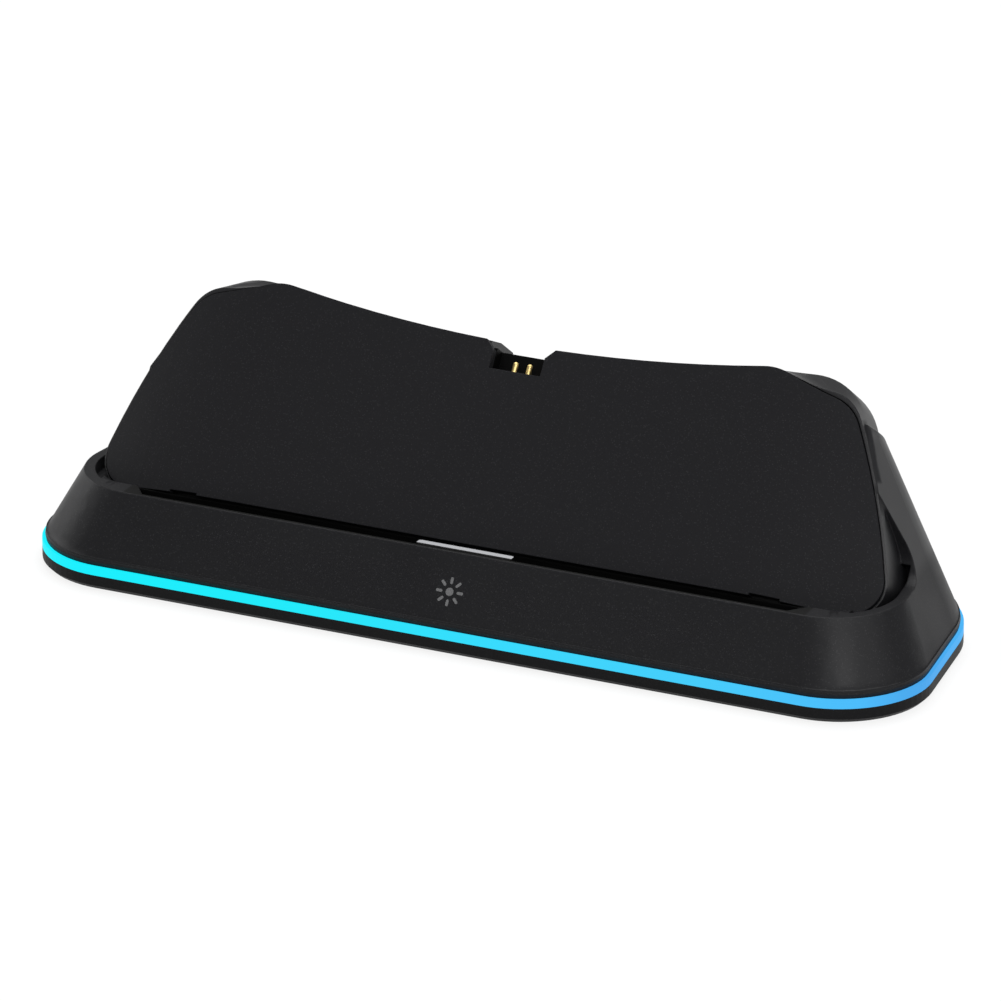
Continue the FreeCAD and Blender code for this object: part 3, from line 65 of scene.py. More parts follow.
DISPLAY_STEPS = 255
DISPLAY_KNEE = 0.04045
DISPLAY_SLOPE = 12.92
DISPLAY_LIFT = 0.055
DISPLAY_POWER = 2.4
WHITE = (1.0, 1.0, 1.0, 1.0)
BLACK = (0.0, 0.0, 0.0, 1.0)

Colour = tuple[float, float, float, float]


def tone(red: float, green: float, blue: float) -> Colour:
    """Scene colour of a display colour given in 0 to 255 steps.

    Args:
        red: Red step.
        green: Green step.
        blue: Blue step.

    Returns:
        Linear colour with full alpha.
    """

    def linear(step: float) -> float:
        """Linear level of one display step."""
        share = step / DISPLAY_STEPS
        if share <= DISPLAY_KNEE:
            return share / DISPLAY_SLOPE
        return ((share + DISPLAY_LIFT) / (1 + DISPLAY_LIFT)) ** DISPLAY_POWER

    return (linear(red), linear(green), linear(blue), 1.0)


class Wiring:
    """Adds and links nodes in one tree."""

    MIX_COLOURS = (6, 7)
    MIX_RESULT = 2

    def __init__(self, tree: bpy.types.NodeTree) -> None:
        """Keep the tree that the nodes go to."""
        self.tree = tree

    def add(self, kind: str, **settings: object) -> bpy.types.Node:
        """Add a node and set its properties.

        Args:
            kind: Blender node type.
            **settings: Node properties by name.

        Returns:
            The new node.
        """
        node = self.tree.nodes.new(kind)
        for name, value in settings.items():
            setattr(node, name, value)
        return node

    def link(self, start: bpy.types.NodeSocket, end: bpy.types.NodeSocket) -> None:
        """Link two sockets."""
        self.tree.links.new(start, end)

    def math(self, operation: str, *inputs: object, clamp: bool = False) -> bpy.types.NodeSocket:
        """Add a Math node.

        Args:
            operation: Name of the operation.
            *inputs: Numbers or sockets, in order.
            clamp: Whether the result stays within 0 and 1.

        Returns:
            The result socket.
        """
        node = self.add("ShaderNodeMath", operation=operation, use_clamp=clamp)
        for socket, value in zip(node.inputs, inputs):
            if isinstance(value, (int, float)):
                socket.default_value = value
            else:
                self.link(value, socket)
        return node.outputs[0]

    def range(self, value: bpy.types.NodeSocket, low: float, high: float,
              to_low: float = 0.0, to_high: float = 1.0) -> bpy.types.NodeSocket:
        """Add a smooth Map Range node.

        Args:
            value: Socket to map.
            low: Start of the input range.
            high: End of the input range.
            to_low: Result at the start.
            to_high: Result at the end.

        Returns:
            The result socket.
        """
        node = self.add("ShaderNodeMapRange", interpolation_type="SMOOTHSTEP")
        self.link(value, node.inputs["Value"])
        node.inputs["From Min"].default_value = low
        node.inputs["From Max"].default_value = high
        node.inputs["To Min"].default_value = to_low
        node.inputs["To Max"].default_value = to_high
        return node.outputs["Result"]

    def mix(self, share: bpy.types.NodeSocket, first: object, second: object) -> bpy.types.NodeSocket:
        """Mix two colours.

        Args:
            share: Socket with the share of the second colour.
            first: Colour or socket.
            second: Colour or socket.

        Returns:
            The colour socket.
        """
        node = self.add("ShaderNodeMix", data_type="RGBA")
        self.link(share, node.inputs["Factor"])
        for slot, value in zip(self.MIX_COLOURS, (first, second)):
            if isinstance(value, tuple):
                node.inputs[slot].default_value = value
            else:
                self.link(value, node.inputs[slot])
        return node.outputs[self.MIX_RESULT]


class ShaderGroups:
    """Node groups that several finishes share, each built once."""

    GRAIN_DETAIL = 2.0
    GLINT_CHANCE = (0.55, 1.0)
    GLINT_CORE = (0.55, 0.1)
    DRIFT_SCALE = 38.0
    DRIFT_DETAIL = 3.0
    LINE_DETAIL = 3.0
    EDGE_SAMPLES = 6

    def __init__(self) -> None:
        """Start with no group built."""
        self._groups: dict[str, bpy.types.NodeTree] = {}

    def _start(self, name: str, inputs: dict[str, float], outputs: tuple[str, ...]) -> Wiring:
        """Make an empty group with number inputs and outputs.

        Args:
            name: Group name.
            inputs: Default value by input name.
            outputs: Output names.

        Returns:
            Wiring of the new group.
        """
        tree = bpy.data.node_groups.new(name, "ShaderNodeTree")
        for label, value in inputs.items():
            socket = tree.interface.new_socket(label, in_out="INPUT", socket_type="NodeSocketFloat")
            socket.default_value = value
        for label in outputs:
            tree.interface.new_socket(label, in_out="OUTPUT", socket_type="NodeSocketFloat")
        self._groups[name] = tree
        return Wiring(tree)

    def moulded_grain(self) -> bpy.types.NodeTree:
        """Fine spark-eroded grain with scattered bright spots, painted glints of the grain.

        Returns:
            Group with the outputs Height, Glint and Shade; Glint is the mask of the painted glints.
        """
        if "moulded_grain" in self._groups:
            return self._groups["moulded_grain"]
        wires = self._start(
            "moulded_grain", {"Grain": 2600.0, "Glint Size": 2100.0}, ("Height", "Glint", "Shade")
        )
        inlet = wires.add("NodeGroupInput")
        outlet = wires.add("NodeGroupOutput")
        where = wires.add("ShaderNodeTexCoord").outputs["Object"]
        grain = wires.add("ShaderNodeTexNoise")
        grain.inputs["Detail"].default_value = self.GRAIN_DETAIL
        wires.link(where, grain.inputs["Vector"])
        wires.link(inlet.outputs["Grain"], grain.inputs["Scale"])
        cells = wires.add("ShaderNodeTexVoronoi", feature="F1")
        wires.link(where, cells.inputs["Vector"])
        wires.link(inlet.outputs["Glint Size"], cells.inputs["Scale"])
        chance = wires.add("ShaderNodeSeparateColor")
        wires.link(cells.outputs["Color"], chance.inputs["Color"])
        chosen = wires.range(chance.outputs["Red"], *self.GLINT_CHANCE)
        core = wires.range(cells.outputs["Distance"], *self.GLINT_CORE)
        drift = wires.add("ShaderNodeTexNoise")
        drift.inputs["Scale"].default_value = self.DRIFT_SCALE
        drift.inputs["Detail"].default_value = self.DRIFT_DETAIL
        wires.link(where, drift.inputs["Vector"])
        wires.link(grain.outputs["Fac"], outlet.inputs["Height"])
        wires.link(wires.math("MULTIPLY", chosen, core), outlet.inputs["Glint"])
        wires.link(drift.outputs["Fac"], outlet.inputs["Shade"])
        return wires.tree

    def soft_edges(self) -> bpy.types.NodeTree:
        """Normal that rounds the sharp edges of moulded pieces.

        Returns:
            Group with the output Normal.
        """
        if "soft_edges" in self._groups:
            return self._groups["soft_edges"]
        wires = self._start("soft_edges", {"Radius": 0.0003}, ())
        wires.tree.interface.new_socket("Normal", in_out="OUTPUT", socket_type="NodeSocketVector")
        inlet = wires.add("NodeGroupInput")
        outlet = wires.add("NodeGroupOutput")
        edge = wires.add("ShaderNodeBevel", samples=self.EDGE_SAMPLES)
        wires.link(inlet.outputs["Radius"], edge.inputs["Radius"])
        wires.link(edge.outputs["Normal"], outlet.inputs["Normal"])
        return wires.tree

    def height_mask(self) -> bpy.types.NodeTree:
        """Mask that rises from 0 to 1 between two heights.

        Returns:
            Group with the output Mask.
        """
        if "height_mask" in self._groups:
            return self._groups["height_mask"]
        wires = self._start("height_mask", {"Low": 0.0, "High": 0.01}, ("Mask",))
        inlet = wires.add("NodeGroupInput")
        outlet = wires.add("NodeGroupOutput")
        where = wires.add("ShaderNodeTexCoord").outputs["Object"]
        parts = wires.add("ShaderNodeSeparateXYZ")
        wires.link(where, parts.inputs[0])
        rise = wires.add("ShaderNodeMapRange", interpolation_type="SMOOTHSTEP")
        wires.link(parts.outputs["Z"], rise.inputs["Value"])
        wires.link(inlet.outputs["Low"], rise.inputs["From Min"])
        wires.link(inlet.outputs["High"], rise.inputs["From Max"])
        wires.link(rise.outputs["Result"], outlet.inputs["Mask"])
        return wires.tree

    def brushed_lines(self) -> bpy.types.NodeTree:
        """Fine drawn lines of rolled or turned metal.

        Returns:
            Group with the output Line.
        """
        if "brushed_lines" in self._groups:
            return self._groups["brushed_lines"]
        wires = self._start("brushed_lines", {"Scale": 900.0, "Stretch": 0.05}, ("Line",))
        inlet = wires.add("NodeGroupInput")
        outlet = wires.add("NodeGroupOutput")
        where = wires.add("ShaderNodeTexCoord").outputs["Object"]
        parts = wires.add("ShaderNodeSeparateXYZ")
        wires.link(where, parts.inputs[0])
        turned = wires.add("ShaderNodeCombineXYZ")
        drawn = wires.math("MULTIPLY", parts.outputs["X"], inlet.outputs["Stretch"])
        wires.link(drawn, turned.inputs["X"])
        wires.link(parts.outputs["Y"], turned.inputs["Y"])
        wires.link(parts.outputs["Z"], turned.inputs["Z"])
        noise = wires.add("ShaderNodeTexNoise")
        noise.inputs["Detail"].default_value = self.LINE_DETAIL
        wires.link(turned.outputs[0], noise.inputs["Vector"])
        wires.link(inlet.outputs["Scale"], noise.inputs["Scale"])
        wires.link(noise.outputs["Fac"], outlet.inputs["Line"])
        return wires.tree


GROUPS = ShaderGroups()


@dataclass(frozen=True)
class Finish:
    """Common base of the finishes: a name and a Principled shader.

    Attributes:
        name: Material name.
        colour: Base colour.
        roughness: Mean roughness.
    """

    name: str
    colour: Colour
    roughness: float

    def _shader(self) -> tuple[bpy.types.Material, Wiring, bpy.types.Node]:
        """Make the material with its Principled shader.

        Returns:
            The material, the wiring of its tree and the shader.
        """
        material = bpy.data.materials.new(self.name)
        material.use_nodes = True
        wires = Wiring(material.node_tree)
        shader = material.node_tree.nodes["Principled BSDF"]
        return material, wires, shader

    def material(self) -> bpy.types.Material:
        """Build the material.

        Returns:
            The finished material.
        """
        raise NotImplementedError


@dataclass(frozen=True)
class Polish:
    """Height from which a moulding turns from grained to polished.

    Attributes:
        low: Height in millimetres up to which the grain is full.
        high: Height in millimetres from which the polish is full.
        roughness: Roughness of the polished plastic.
        coat: Weight of the clear sheen on the polish.
        coat_roughness: Roughness of that sheen.
    """

    low: float
    high: float
    roughness: float
    coat: float
    coat_roughness: float


@dataclass(frozen=True)
class ShadeBox:
    """Box of a moulding on one side of which its colour is painted shade, in millimetres.

    Attributes:
        half: Half width along X.
        front: Front limit along Y.
        back: Rear limit along Y.
        top: Upper limit.
        fade: Distance over which the colour changes.
        colour: Colour inside the box: painted shade, or the moulding's own colour where the rest of it
            is painted shade.
    """

    half: float
    front: float
    back: float
    top: float
    fade: float
    colour: Colour


@dataclass(frozen=True)
class MouldedPlastic(Finish):
    """Injection-moulded plastic with grain and painted glints: bright spots in the base colour.

    Attributes:
        glint: Colour of the painted glints.
        glint_share: How strongly the painted glints show.
        grain_depth: Bump distance in millimetres.
        grain: Grain frequency per metre.
        glint_size: Painted glint frequency per metre.
        specular: Specular level.
        edge: Radius of the softened edges in millimetres.
        polish: Where the piece turns smooth and bright, if it does.
        shade_box: Box that splits the piece's own colour from painted shade, if it has one.
    """

    glint: Colour = (0.05, 0.05, 0.052, 1.0)
    glint_share: float = 0.5
    grain_depth: float = 0.02
    grain: float = 2600.0
    glint_size: float = 2900.0
    specular: float = 0.5
    edge: float = 0.25
    polish: Polish | None = None
    shade_box: ShadeBox | None = None

    def material(self) -> bpy.types.Material:
        """Build the material.

        Returns:
            The finished material.
        """
        material, wires, shader = self._shader()
        texture = wires.add("ShaderNodeGroup", node_tree=GROUPS.moulded_grain())
        texture.inputs["Grain"].default_value = self.grain
        texture.inputs["Glint Size"].default_value = self.glint_size
        # Painted glints: bright spots mixed into the base colour stand in for light caught by the grain.
        share = wires.math("MULTIPLY", texture.outputs["Glint"], self.glint_share)
        rough = wires.range(
            texture.outputs["Shade"], *SHADE_RANGE, self.roughness - ROUGH_SPREAD,
            self.roughness + ROUGH_SPREAD,
        )
        shader.inputs["Specular IOR Level"].default_value = self.specular
        bump = wires.add("ShaderNodeBump")
        bump.inputs["Strength"].default_value = GRAIN_STRENGTH
        bump.inputs["Distance"].default_value = self.grain_depth * MM
        if self.polish:
            mask = wires.add("ShaderNodeGroup", node_tree=GROUPS.height_mask())
            mask.inputs["Low"].default_value = self.polish.low * MM
            mask.inputs["High"].default_value = self.polish.high * MM
            plain = wires.math("SUBTRACT", 1.0, mask.outputs["Mask"])
            share = wires.math("MULTIPLY", share, plain)
            gain = wires.math("MULTIPLY", mask.outputs["Mask"], self.polish.roughness - self.roughness)
            rough = wires.math("ADD", rough, gain)
            coat = wires.math("MULTIPLY", mask.outputs["Mask"], self.polish.coat)
            wires.link(coat, shader.inputs["Coat Weight"])
            shader.inputs["Coat Roughness"].default_value = self.polish.coat_roughness
            wires.link(wires.math("MULTIPLY", plain, GRAIN_STRENGTH), bump.inputs["Strength"])
        colour = wires.mix(share, self.colour, self.glint)
        # Painted shade: the box's colour or the base colour darkens the parts of the piece that lie in
        # deep shade.
        if self.shade_box:
            colour = wires.mix(self._inside(wires, self.shade_box), colour, self.shade_box.colour)
        wires.link(colour, shader.inputs["Base Color"])
        wires.link(rough, shader.inputs["Roughness"])
        wires.link(texture.outputs["Height"], bump.inputs["Height"])
        if self.edge:
            soft = wires.add("ShaderNodeGroup", node_tree=GROUPS.soft_edges())
            soft.inputs["Radius"].default_value = self.edge * MM
            wires.link(soft.outputs["Normal"], bump.inputs["Normal"])
        wires.link(bump.outputs["Normal"], shader.inputs["Normal"])
        return material

    @staticmethod
    def _inside(wires: Wiring, shade_box: ShadeBox) -> bpy.types.NodeSocket:
        """Mask of a shade box.

        Args:
            wires: Wiring of the material.
            shade_box: The box.

        Returns:
            Socket that is 1 inside the box and 0 outside it.
        """
        where = wires.add("ShaderNodeTexCoord").outputs["Object"]
        parts = wires.add("ShaderNodeSeparateXYZ")
        wires.link(where, parts.inputs[0])
        fade = shade_box.fade * MM
        across = wires.math("ABSOLUTE", parts.outputs["X"])
        within = wires.range(across, shade_box.half * MM, shade_box.half * MM + fade, 1.0, 0.0)
        behind = wires.range(parts.outputs["Y"], shade_box.front * MM - fade, shade_box.front * MM)
        ahead = wires.range(parts.outputs["Y"], shade_box.back * MM, shade_box.back * MM + fade, 1.0, 0.0)
        under = wires.range(parts.outputs["Z"], shade_box.top * MM - fade, shade_box.top * MM, 1.0, 0.0)
        return wires.math("MULTIPLY", wires.math("MULTIPLY", within, behind),
                          wires.math("MULTIPLY", ahead, under))


@dataclass(frozen=True)
class Metal(Finish):
    """Plated or rolled metal with fine drawn lines.

    Attributes:
        dull: Share of the colour left between the lines.
        smoother: How far the roughness falls between the lines.
        rougher: How far it rises in them.
    """

    dull: float = 0.8
    smoother: float = 0.06
    rougher: float = 0.08

    def material(self) -> bpy.types.Material:
        """Build the material.

        Returns:
            The finished material.
        """
        material, wires, shader = self._shader()
        lines = wires.add("ShaderNodeGroup", node_tree=GROUPS.brushed_lines())
        dull = tuple(channel * self.dull for channel in self.colour[:3]) + (1.0,)
        wires.link(wires.mix(lines.outputs["Line"], dull, self.colour), shader.inputs["Base Color"])
        rough = wires.range(
            lines.outputs["Line"], *SHADE_RANGE, self.roughness - self.smoother,
            self.roughness + self.rougher,
        )
        wires.link(rough, shader.inputs["Roughness"])
        shader.inputs["Metallic"].default_value = 1.0
        return material


@dataclass(frozen=True)
class LitBand(Finish):
    """Translucent band lit from behind, its colour running along the dock.

    Attributes:
        stops: Pairs of place along X in millimetres and display colour.
        reach: Half length of the colour run in millimetres.
        specular: Specular level.
    """

    stops: tuple[tuple[float, tuple[int, int, int]], ...] = ()
    reach: float = 106.0
    specular: float = 0.1

    def material(self) -> bpy.types.Material:
        """Build the material.

        Returns:
            The finished material.
        """
        material, wires, shader = self._shader()
        where = wires.add("ShaderNodeTexCoord").outputs["Object"]
        parts = wires.add("ShaderNodeSeparateXYZ")
        wires.link(where, parts.inputs[0])
        along = wires.math("MULTIPLY_ADD", parts.outputs["X"], 0.5 / (self.reach * MM), 0.5, clamp=True)
        ramp = wires.add("ShaderNodeValToRGB")
        marks = ramp.color_ramp.elements
        own = len(marks)
        for index, (place, display) in enumerate(self.stops):
            position = 0.5 + 0.5 * place / self.reach
            mark = marks[index] if index < own else marks.new(position)
            mark.position = position
            mark.color = tone(*display)
        wires.link(along, ramp.inputs["Fac"])
        wires.link(ramp.outputs["Color"], shader.inputs["Emission Color"])
        shader.inputs["Emission Strength"].default_value = 1.0
        shader.inputs["Base Color"].default_value = self.colour
        shader.inputs["Roughness"].default_value = self.roughness
        shader.inputs["Specular IOR Level"].default_value = self.specular
        return material


class Plastics(Enum):
    """Plastic finishes of the dock."""

    PANEL = MouldedPlastic(
        "panel_grain", tone(27, 27, 29), roughness=0.6, glint_share=0.35, specular=0.08,
    )
    SHELL = MouldedPlastic(
        "shell_satin", tone(24, 24, 26), roughness=0.45, glint_share=0.4, specular=0.17, edge=0.5,
        polish=Polish(low=20.5, high=24.0, roughness=0.45, coat=0.19, coat_roughness=0.3),
        # Painted shade: the trough's walls and the inner half of the rim's top are coloured near black,
        # standing in for the deep shade there.
        shade_box=ShadeBox(half=82.0, front=-26.5, back=-15.0, top=21.3, fade=0.4, colour=tone(8, 8, 8)),
    )
    TRAY = MouldedPlastic(
        "tray_satin", tone(16, 16, 17), roughness=0.5, glint_share=0.1, specular=0.1,
    )
    BLOCK = MouldedPlastic(
        "contact_block_black", tone(6, 6, 6), roughness=0.5, glint_share=0.0, specular=0.06, edge=0.1,
    )
    RUBBER = MouldedPlastic(
        "foot_rubber", tone(28, 28, 28), roughness=0.85, glint_share=0.1, specular=0.3,
    )
    CHIP = MouldedPlastic("chip_black", tone(30, 30, 32), roughness=0.5, glint_share=0.3)
    BOARD = MouldedPlastic("board_green", tone(24, 78, 52), roughness=0.4, glint_share=0.1)
    FERRITE = MouldedPlastic("coil_grey", tone(74, 74, 78), roughness=0.6, glint_share=0.4)
    CAPACITOR = MouldedPlastic("capacitor_tan", tone(150, 122, 92), roughness=0.5, glint_share=0.1)
    LAMP = MouldedPlastic("lamp_resin", tone(236, 232, 205), roughness=0.3, glint_share=0.0)
    # Painted shade: the light bar is near black, as if in the slot's shade, except for its own light
    # grey on part of its top.
    BAR = MouldedPlastic(
        "light_bar_resin", tone(10, 10, 10), roughness=0.35, glint_share=0.0, specular=0.2,
        shade_box=ShadeBox(half=11.4, front=-24.15, back=-22.0, top=21.0, fade=0.05,
                    colour=tone(166, 167, 170)),
    )
    WIRE = MouldedPlastic("wire_red", tone(150, 32, 30), roughness=0.45, glint_share=0.0)
    PRINT = MouldedPlastic(
        "touch_print_grey", tone(100, 100, 101), roughness=0.6, glint_share=0.1, specular=0.1,
    )


class Metals(Enum):
    """Metal finishes of the dock."""

    STEEL = Metal("zinc_steel", tone(188, 188, 190), roughness=0.32)
    GOLD = Metal("contact_gold", tone(244, 218, 150), roughness=0.5)


NODE_FINISH = {
    "housing": Plastics.SHELL,
    "front_panel": Plastics.PANEL,
    "base_tray": Plastics.TRAY,
    "contact_block": Plastics.BLOCK,
    "rubber_feet": Plastics.RUBBER,
    "main_board": Plastics.BOARD,
    "band_board": Plastics.BOARD,
    "lamp_board": Plastics.BOARD,
    "touch_board": Plastics.BOARD,
    "contact_board": Plastics.BOARD,
    "power_chip": Plastics.CHIP,
    "touch_chip": Plastics.CHIP,
    "socket_tongue": Plastics.CHIP,
    "power_coil": Plastics.FERRITE,
    "capacitors": Plastics.CAPACITOR,
    "band_lamps": Plastics.LAMP,
    "status_lamp": Plastics.LAMP,
    "light_bar": Plastics.BAR,
    "contact_leads": Plastics.WIRE,
    "board_leads": Plastics.WIRE,
    "base_screws": Metals.STEEL,
    "board_screws": Metals.STEEL,
    "ballast_plate": Metals.STEEL,
    "socket_shell": Metals.STEEL,
    "spring_left": Metals.STEEL,
    "spring_right": Metals.STEEL,
    "barrel_left": Metals.GOLD,
    "barrel_right": Metals.GOLD,
    "plunger_left": Metals.GOLD,
    "plunger_right": Metals.GOLD,
}


def dress(item: bpy.types.Object, material: bpy.types.Material) -> None:
    """Give an object one material.

    Args:
        item: Object to dress.
        material: Its material.
    """
    item.data.materials.clear()
    item.data.materials.append(material)


@dataclass
class PictureCamera:
    """Camera at the photograph's viewing angle.

    Attributes:
        azimuth: Turn about Z in degrees.
        elevation: Height above the horizon in degrees.
        distance: Distance from the target in metres.
        right: Target's offset to the right in millimetres.
        up: Target's offset upward in millimetres.
        scale: Picture points per millimetre at the target.
        sensor: Width of the sensor in millimetres.
        sight: Farthest distance that it sees in metres.
    """

    azimuth: float = 25.43
    elevation: float = 22.0
    distance: float = 2.23
    right: float = -2.4
    up: float = 21.5
    scale: float = 4.54
    sensor: float = 36.0
    sight: float = 50.0

    def build(self) -> bpy.types.Object:
        """Create the camera and make it the scene's own.

        Returns:
            The camera object.
        """
        turn = math.radians(self.azimuth)
        rise = math.radians(self.elevation)
        level = math.cos(rise)
        back = Vector((math.sin(turn) * level, -math.cos(turn) * level, math.sin(rise)))
        side = Vector((math.cos(turn), math.sin(turn), 0.0))
        above = back.cross(side)
        data = bpy.data.cameras.new("picture_camera")
        data.sensor_width = self.sensor
        data.lens = self.sensor * self.scale / MM * self.distance / PICTURE_SIDE
        data.clip_end = self.sight
        camera = bpy.data.objects.new("picture_camera", data)
        camera.location = side * self.right * MM + above * self.up * MM + back * self.distance
        camera.rotation_mode = "QUATERNION"
        camera.rotation_quaternion = (-back).to_track_quat("-Z", "Y")
        bpy.context.collection.objects.link(camera)
        bpy.context.scene.camera = camera
        return camera


@dataclass(frozen=True)
class Softbox:
    """Square soft lamp.

    Attributes:
        name: Lamp name.
        place: Where it hangs, in metres.
        aim: Point that it faces, in metres.
        side: Side of the square in metres.
        power: Power in watts.
    """

    name: str
    place: tuple[float, float, float]
    aim: tuple[float, float, float]
    side: float
    power: float

    def build(self) -> bpy.types.Object:
        """Create the lamp.

        Returns:
            The lamp object.
        """
        data = bpy.data.lights.new(self.name, "AREA")
        data.size = self.side
        data.energy = self.power
        lamp = bpy.data.objects.new(self.name, data)
        lamp.location = self.place
        lamp.rotation_mode = "QUATERNION"
        lamp.rotation_quaternion = (Vector(self.aim) - Vector(self.place)).to_track_quat("-Z", "Y")
        bpy.context.collection.objects.link(lamp)
        return lamp


@dataclass
class Studio:
    """Pale floor, white surround and soft lamps.

    Attributes:
        floor_half: Half side of the floor in metres.
        floor_drop: Depth of the floor under the feet in millimetres.
        ambient: Strength of the surrounding light.
        paper: Grey level of the floor under the lamps.
        glow: Share of plain white in the floor that the camera sees.
        softboxes: Lamps round the dock.
    """

    floor_half: float = 3.0
    floor_drop: float = 0.02
    ambient: float = 0.3
    paper: float = 0.86
    glow: float = 0.85
    softboxes: tuple[Softbox, ...] = (
        Softbox("top_softbox", place=(-0.1, 0.3, 1.15), aim=(0.0, 0.0, 0.0), side=0.9, power=13.0),
        Softbox("left_softbox", place=(-1.05, 0.2, 0.42), aim=(-0.08, 0.0, 0.03), side=0.5, power=3.0),
        Softbox("right_softbox", place=(0.62, -0.88, 0.85), aim=(0.05, 0.0, 0.03), side=0.5, power=6.5),
        Softbox("side_fill", place=(1.0, -0.3, 0.55), aim=(0.09, 0.0, 0.03), side=0.6, power=2.5),
    )

    def build(self) -> None:
        """Create the floor, the world and the lamps, under plain display settings."""
        bpy.context.scene.view_settings.view_transform = "Standard"
        self._floor()
        self._world()
        for softbox in self.softboxes:
            softbox.build()

    def _floor(self) -> None:
        """Create the floor, white to the camera but for the dock's shadow."""
        half = self.floor_half
        mesh = bpy.data.meshes.new("floor")
        low = -self.floor_drop * MM
        corners = [(-half, -half, low), (half, -half, low), (half, half, low), (-half, half, low)]
        mesh.from_pydata(corners, [], [(0, 1, 2, 3)])
        floor = bpy.data.objects.new("floor", mesh)
        bpy.context.collection.objects.link(floor)
        material = bpy.data.materials.new("floor_white")
        material.use_nodes = True
        wires = Wiring(material.node_tree)
        material.node_tree.nodes.clear()
        output = wires.add("ShaderNodeOutputMaterial")
        paper = wires.add("ShaderNodeBsdfDiffuse")
        paper.inputs["Color"].default_value = (self.paper, self.paper, self.paper, 1.0)
        glow = wires.add("ShaderNodeEmission")
        glow.inputs["Color"].default_value = WHITE
        glow.inputs["Strength"].default_value = 1.0
        path = wires.add("ShaderNodeLightPath")
        seen = wires.math("MAXIMUM", path.outputs["Is Camera Ray"], path.outputs["Is Glossy Ray"])
        seen = wires.math("MAXIMUM", seen, path.outputs["Is Transmission Ray"])
        blend = wires.add("ShaderNodeMixShader")
        wires.link(wires.math("MULTIPLY", seen, self.glow), blend.inputs["Fac"])
        wires.link(paper.outputs[0], blend.inputs[1])
        wires.link(glow.outputs[0], blend.inputs[2])
        wires.link(blend.outputs[0], output.inputs["Surface"])
        dress(floor, material)

    def _world(self) -> None:
        """Create the surround: white to the camera, softer as a light."""
        world = bpy.data.worlds.new("studio")
        world.use_nodes = True
        bpy.context.scene.world = world
        wires = Wiring(world.node_tree)
        world.node_tree.nodes.clear()
        output = wires.add("ShaderNodeOutputWorld")
        light = wires.add("ShaderNodeBackground")
        light.inputs["Strength"].default_value = self.ambient
        white = wires.add("ShaderNodeBackground")
        white.inputs["Color"].default_value = WHITE
        light.inputs["Color"].default_value = WHITE
        path = wires.add("ShaderNodeLightPath")
        blend = wires.add("ShaderNodeMixShader")
        wires.link(path.outputs["Is Camera Ray"], blend.inputs["Fac"])
        wires.link(light.outputs[0], blend.inputs[1])
        wires.link(white.outputs[0], blend.inputs[2])
        wires.link(blend.outputs[0], output.inputs["Surface"])


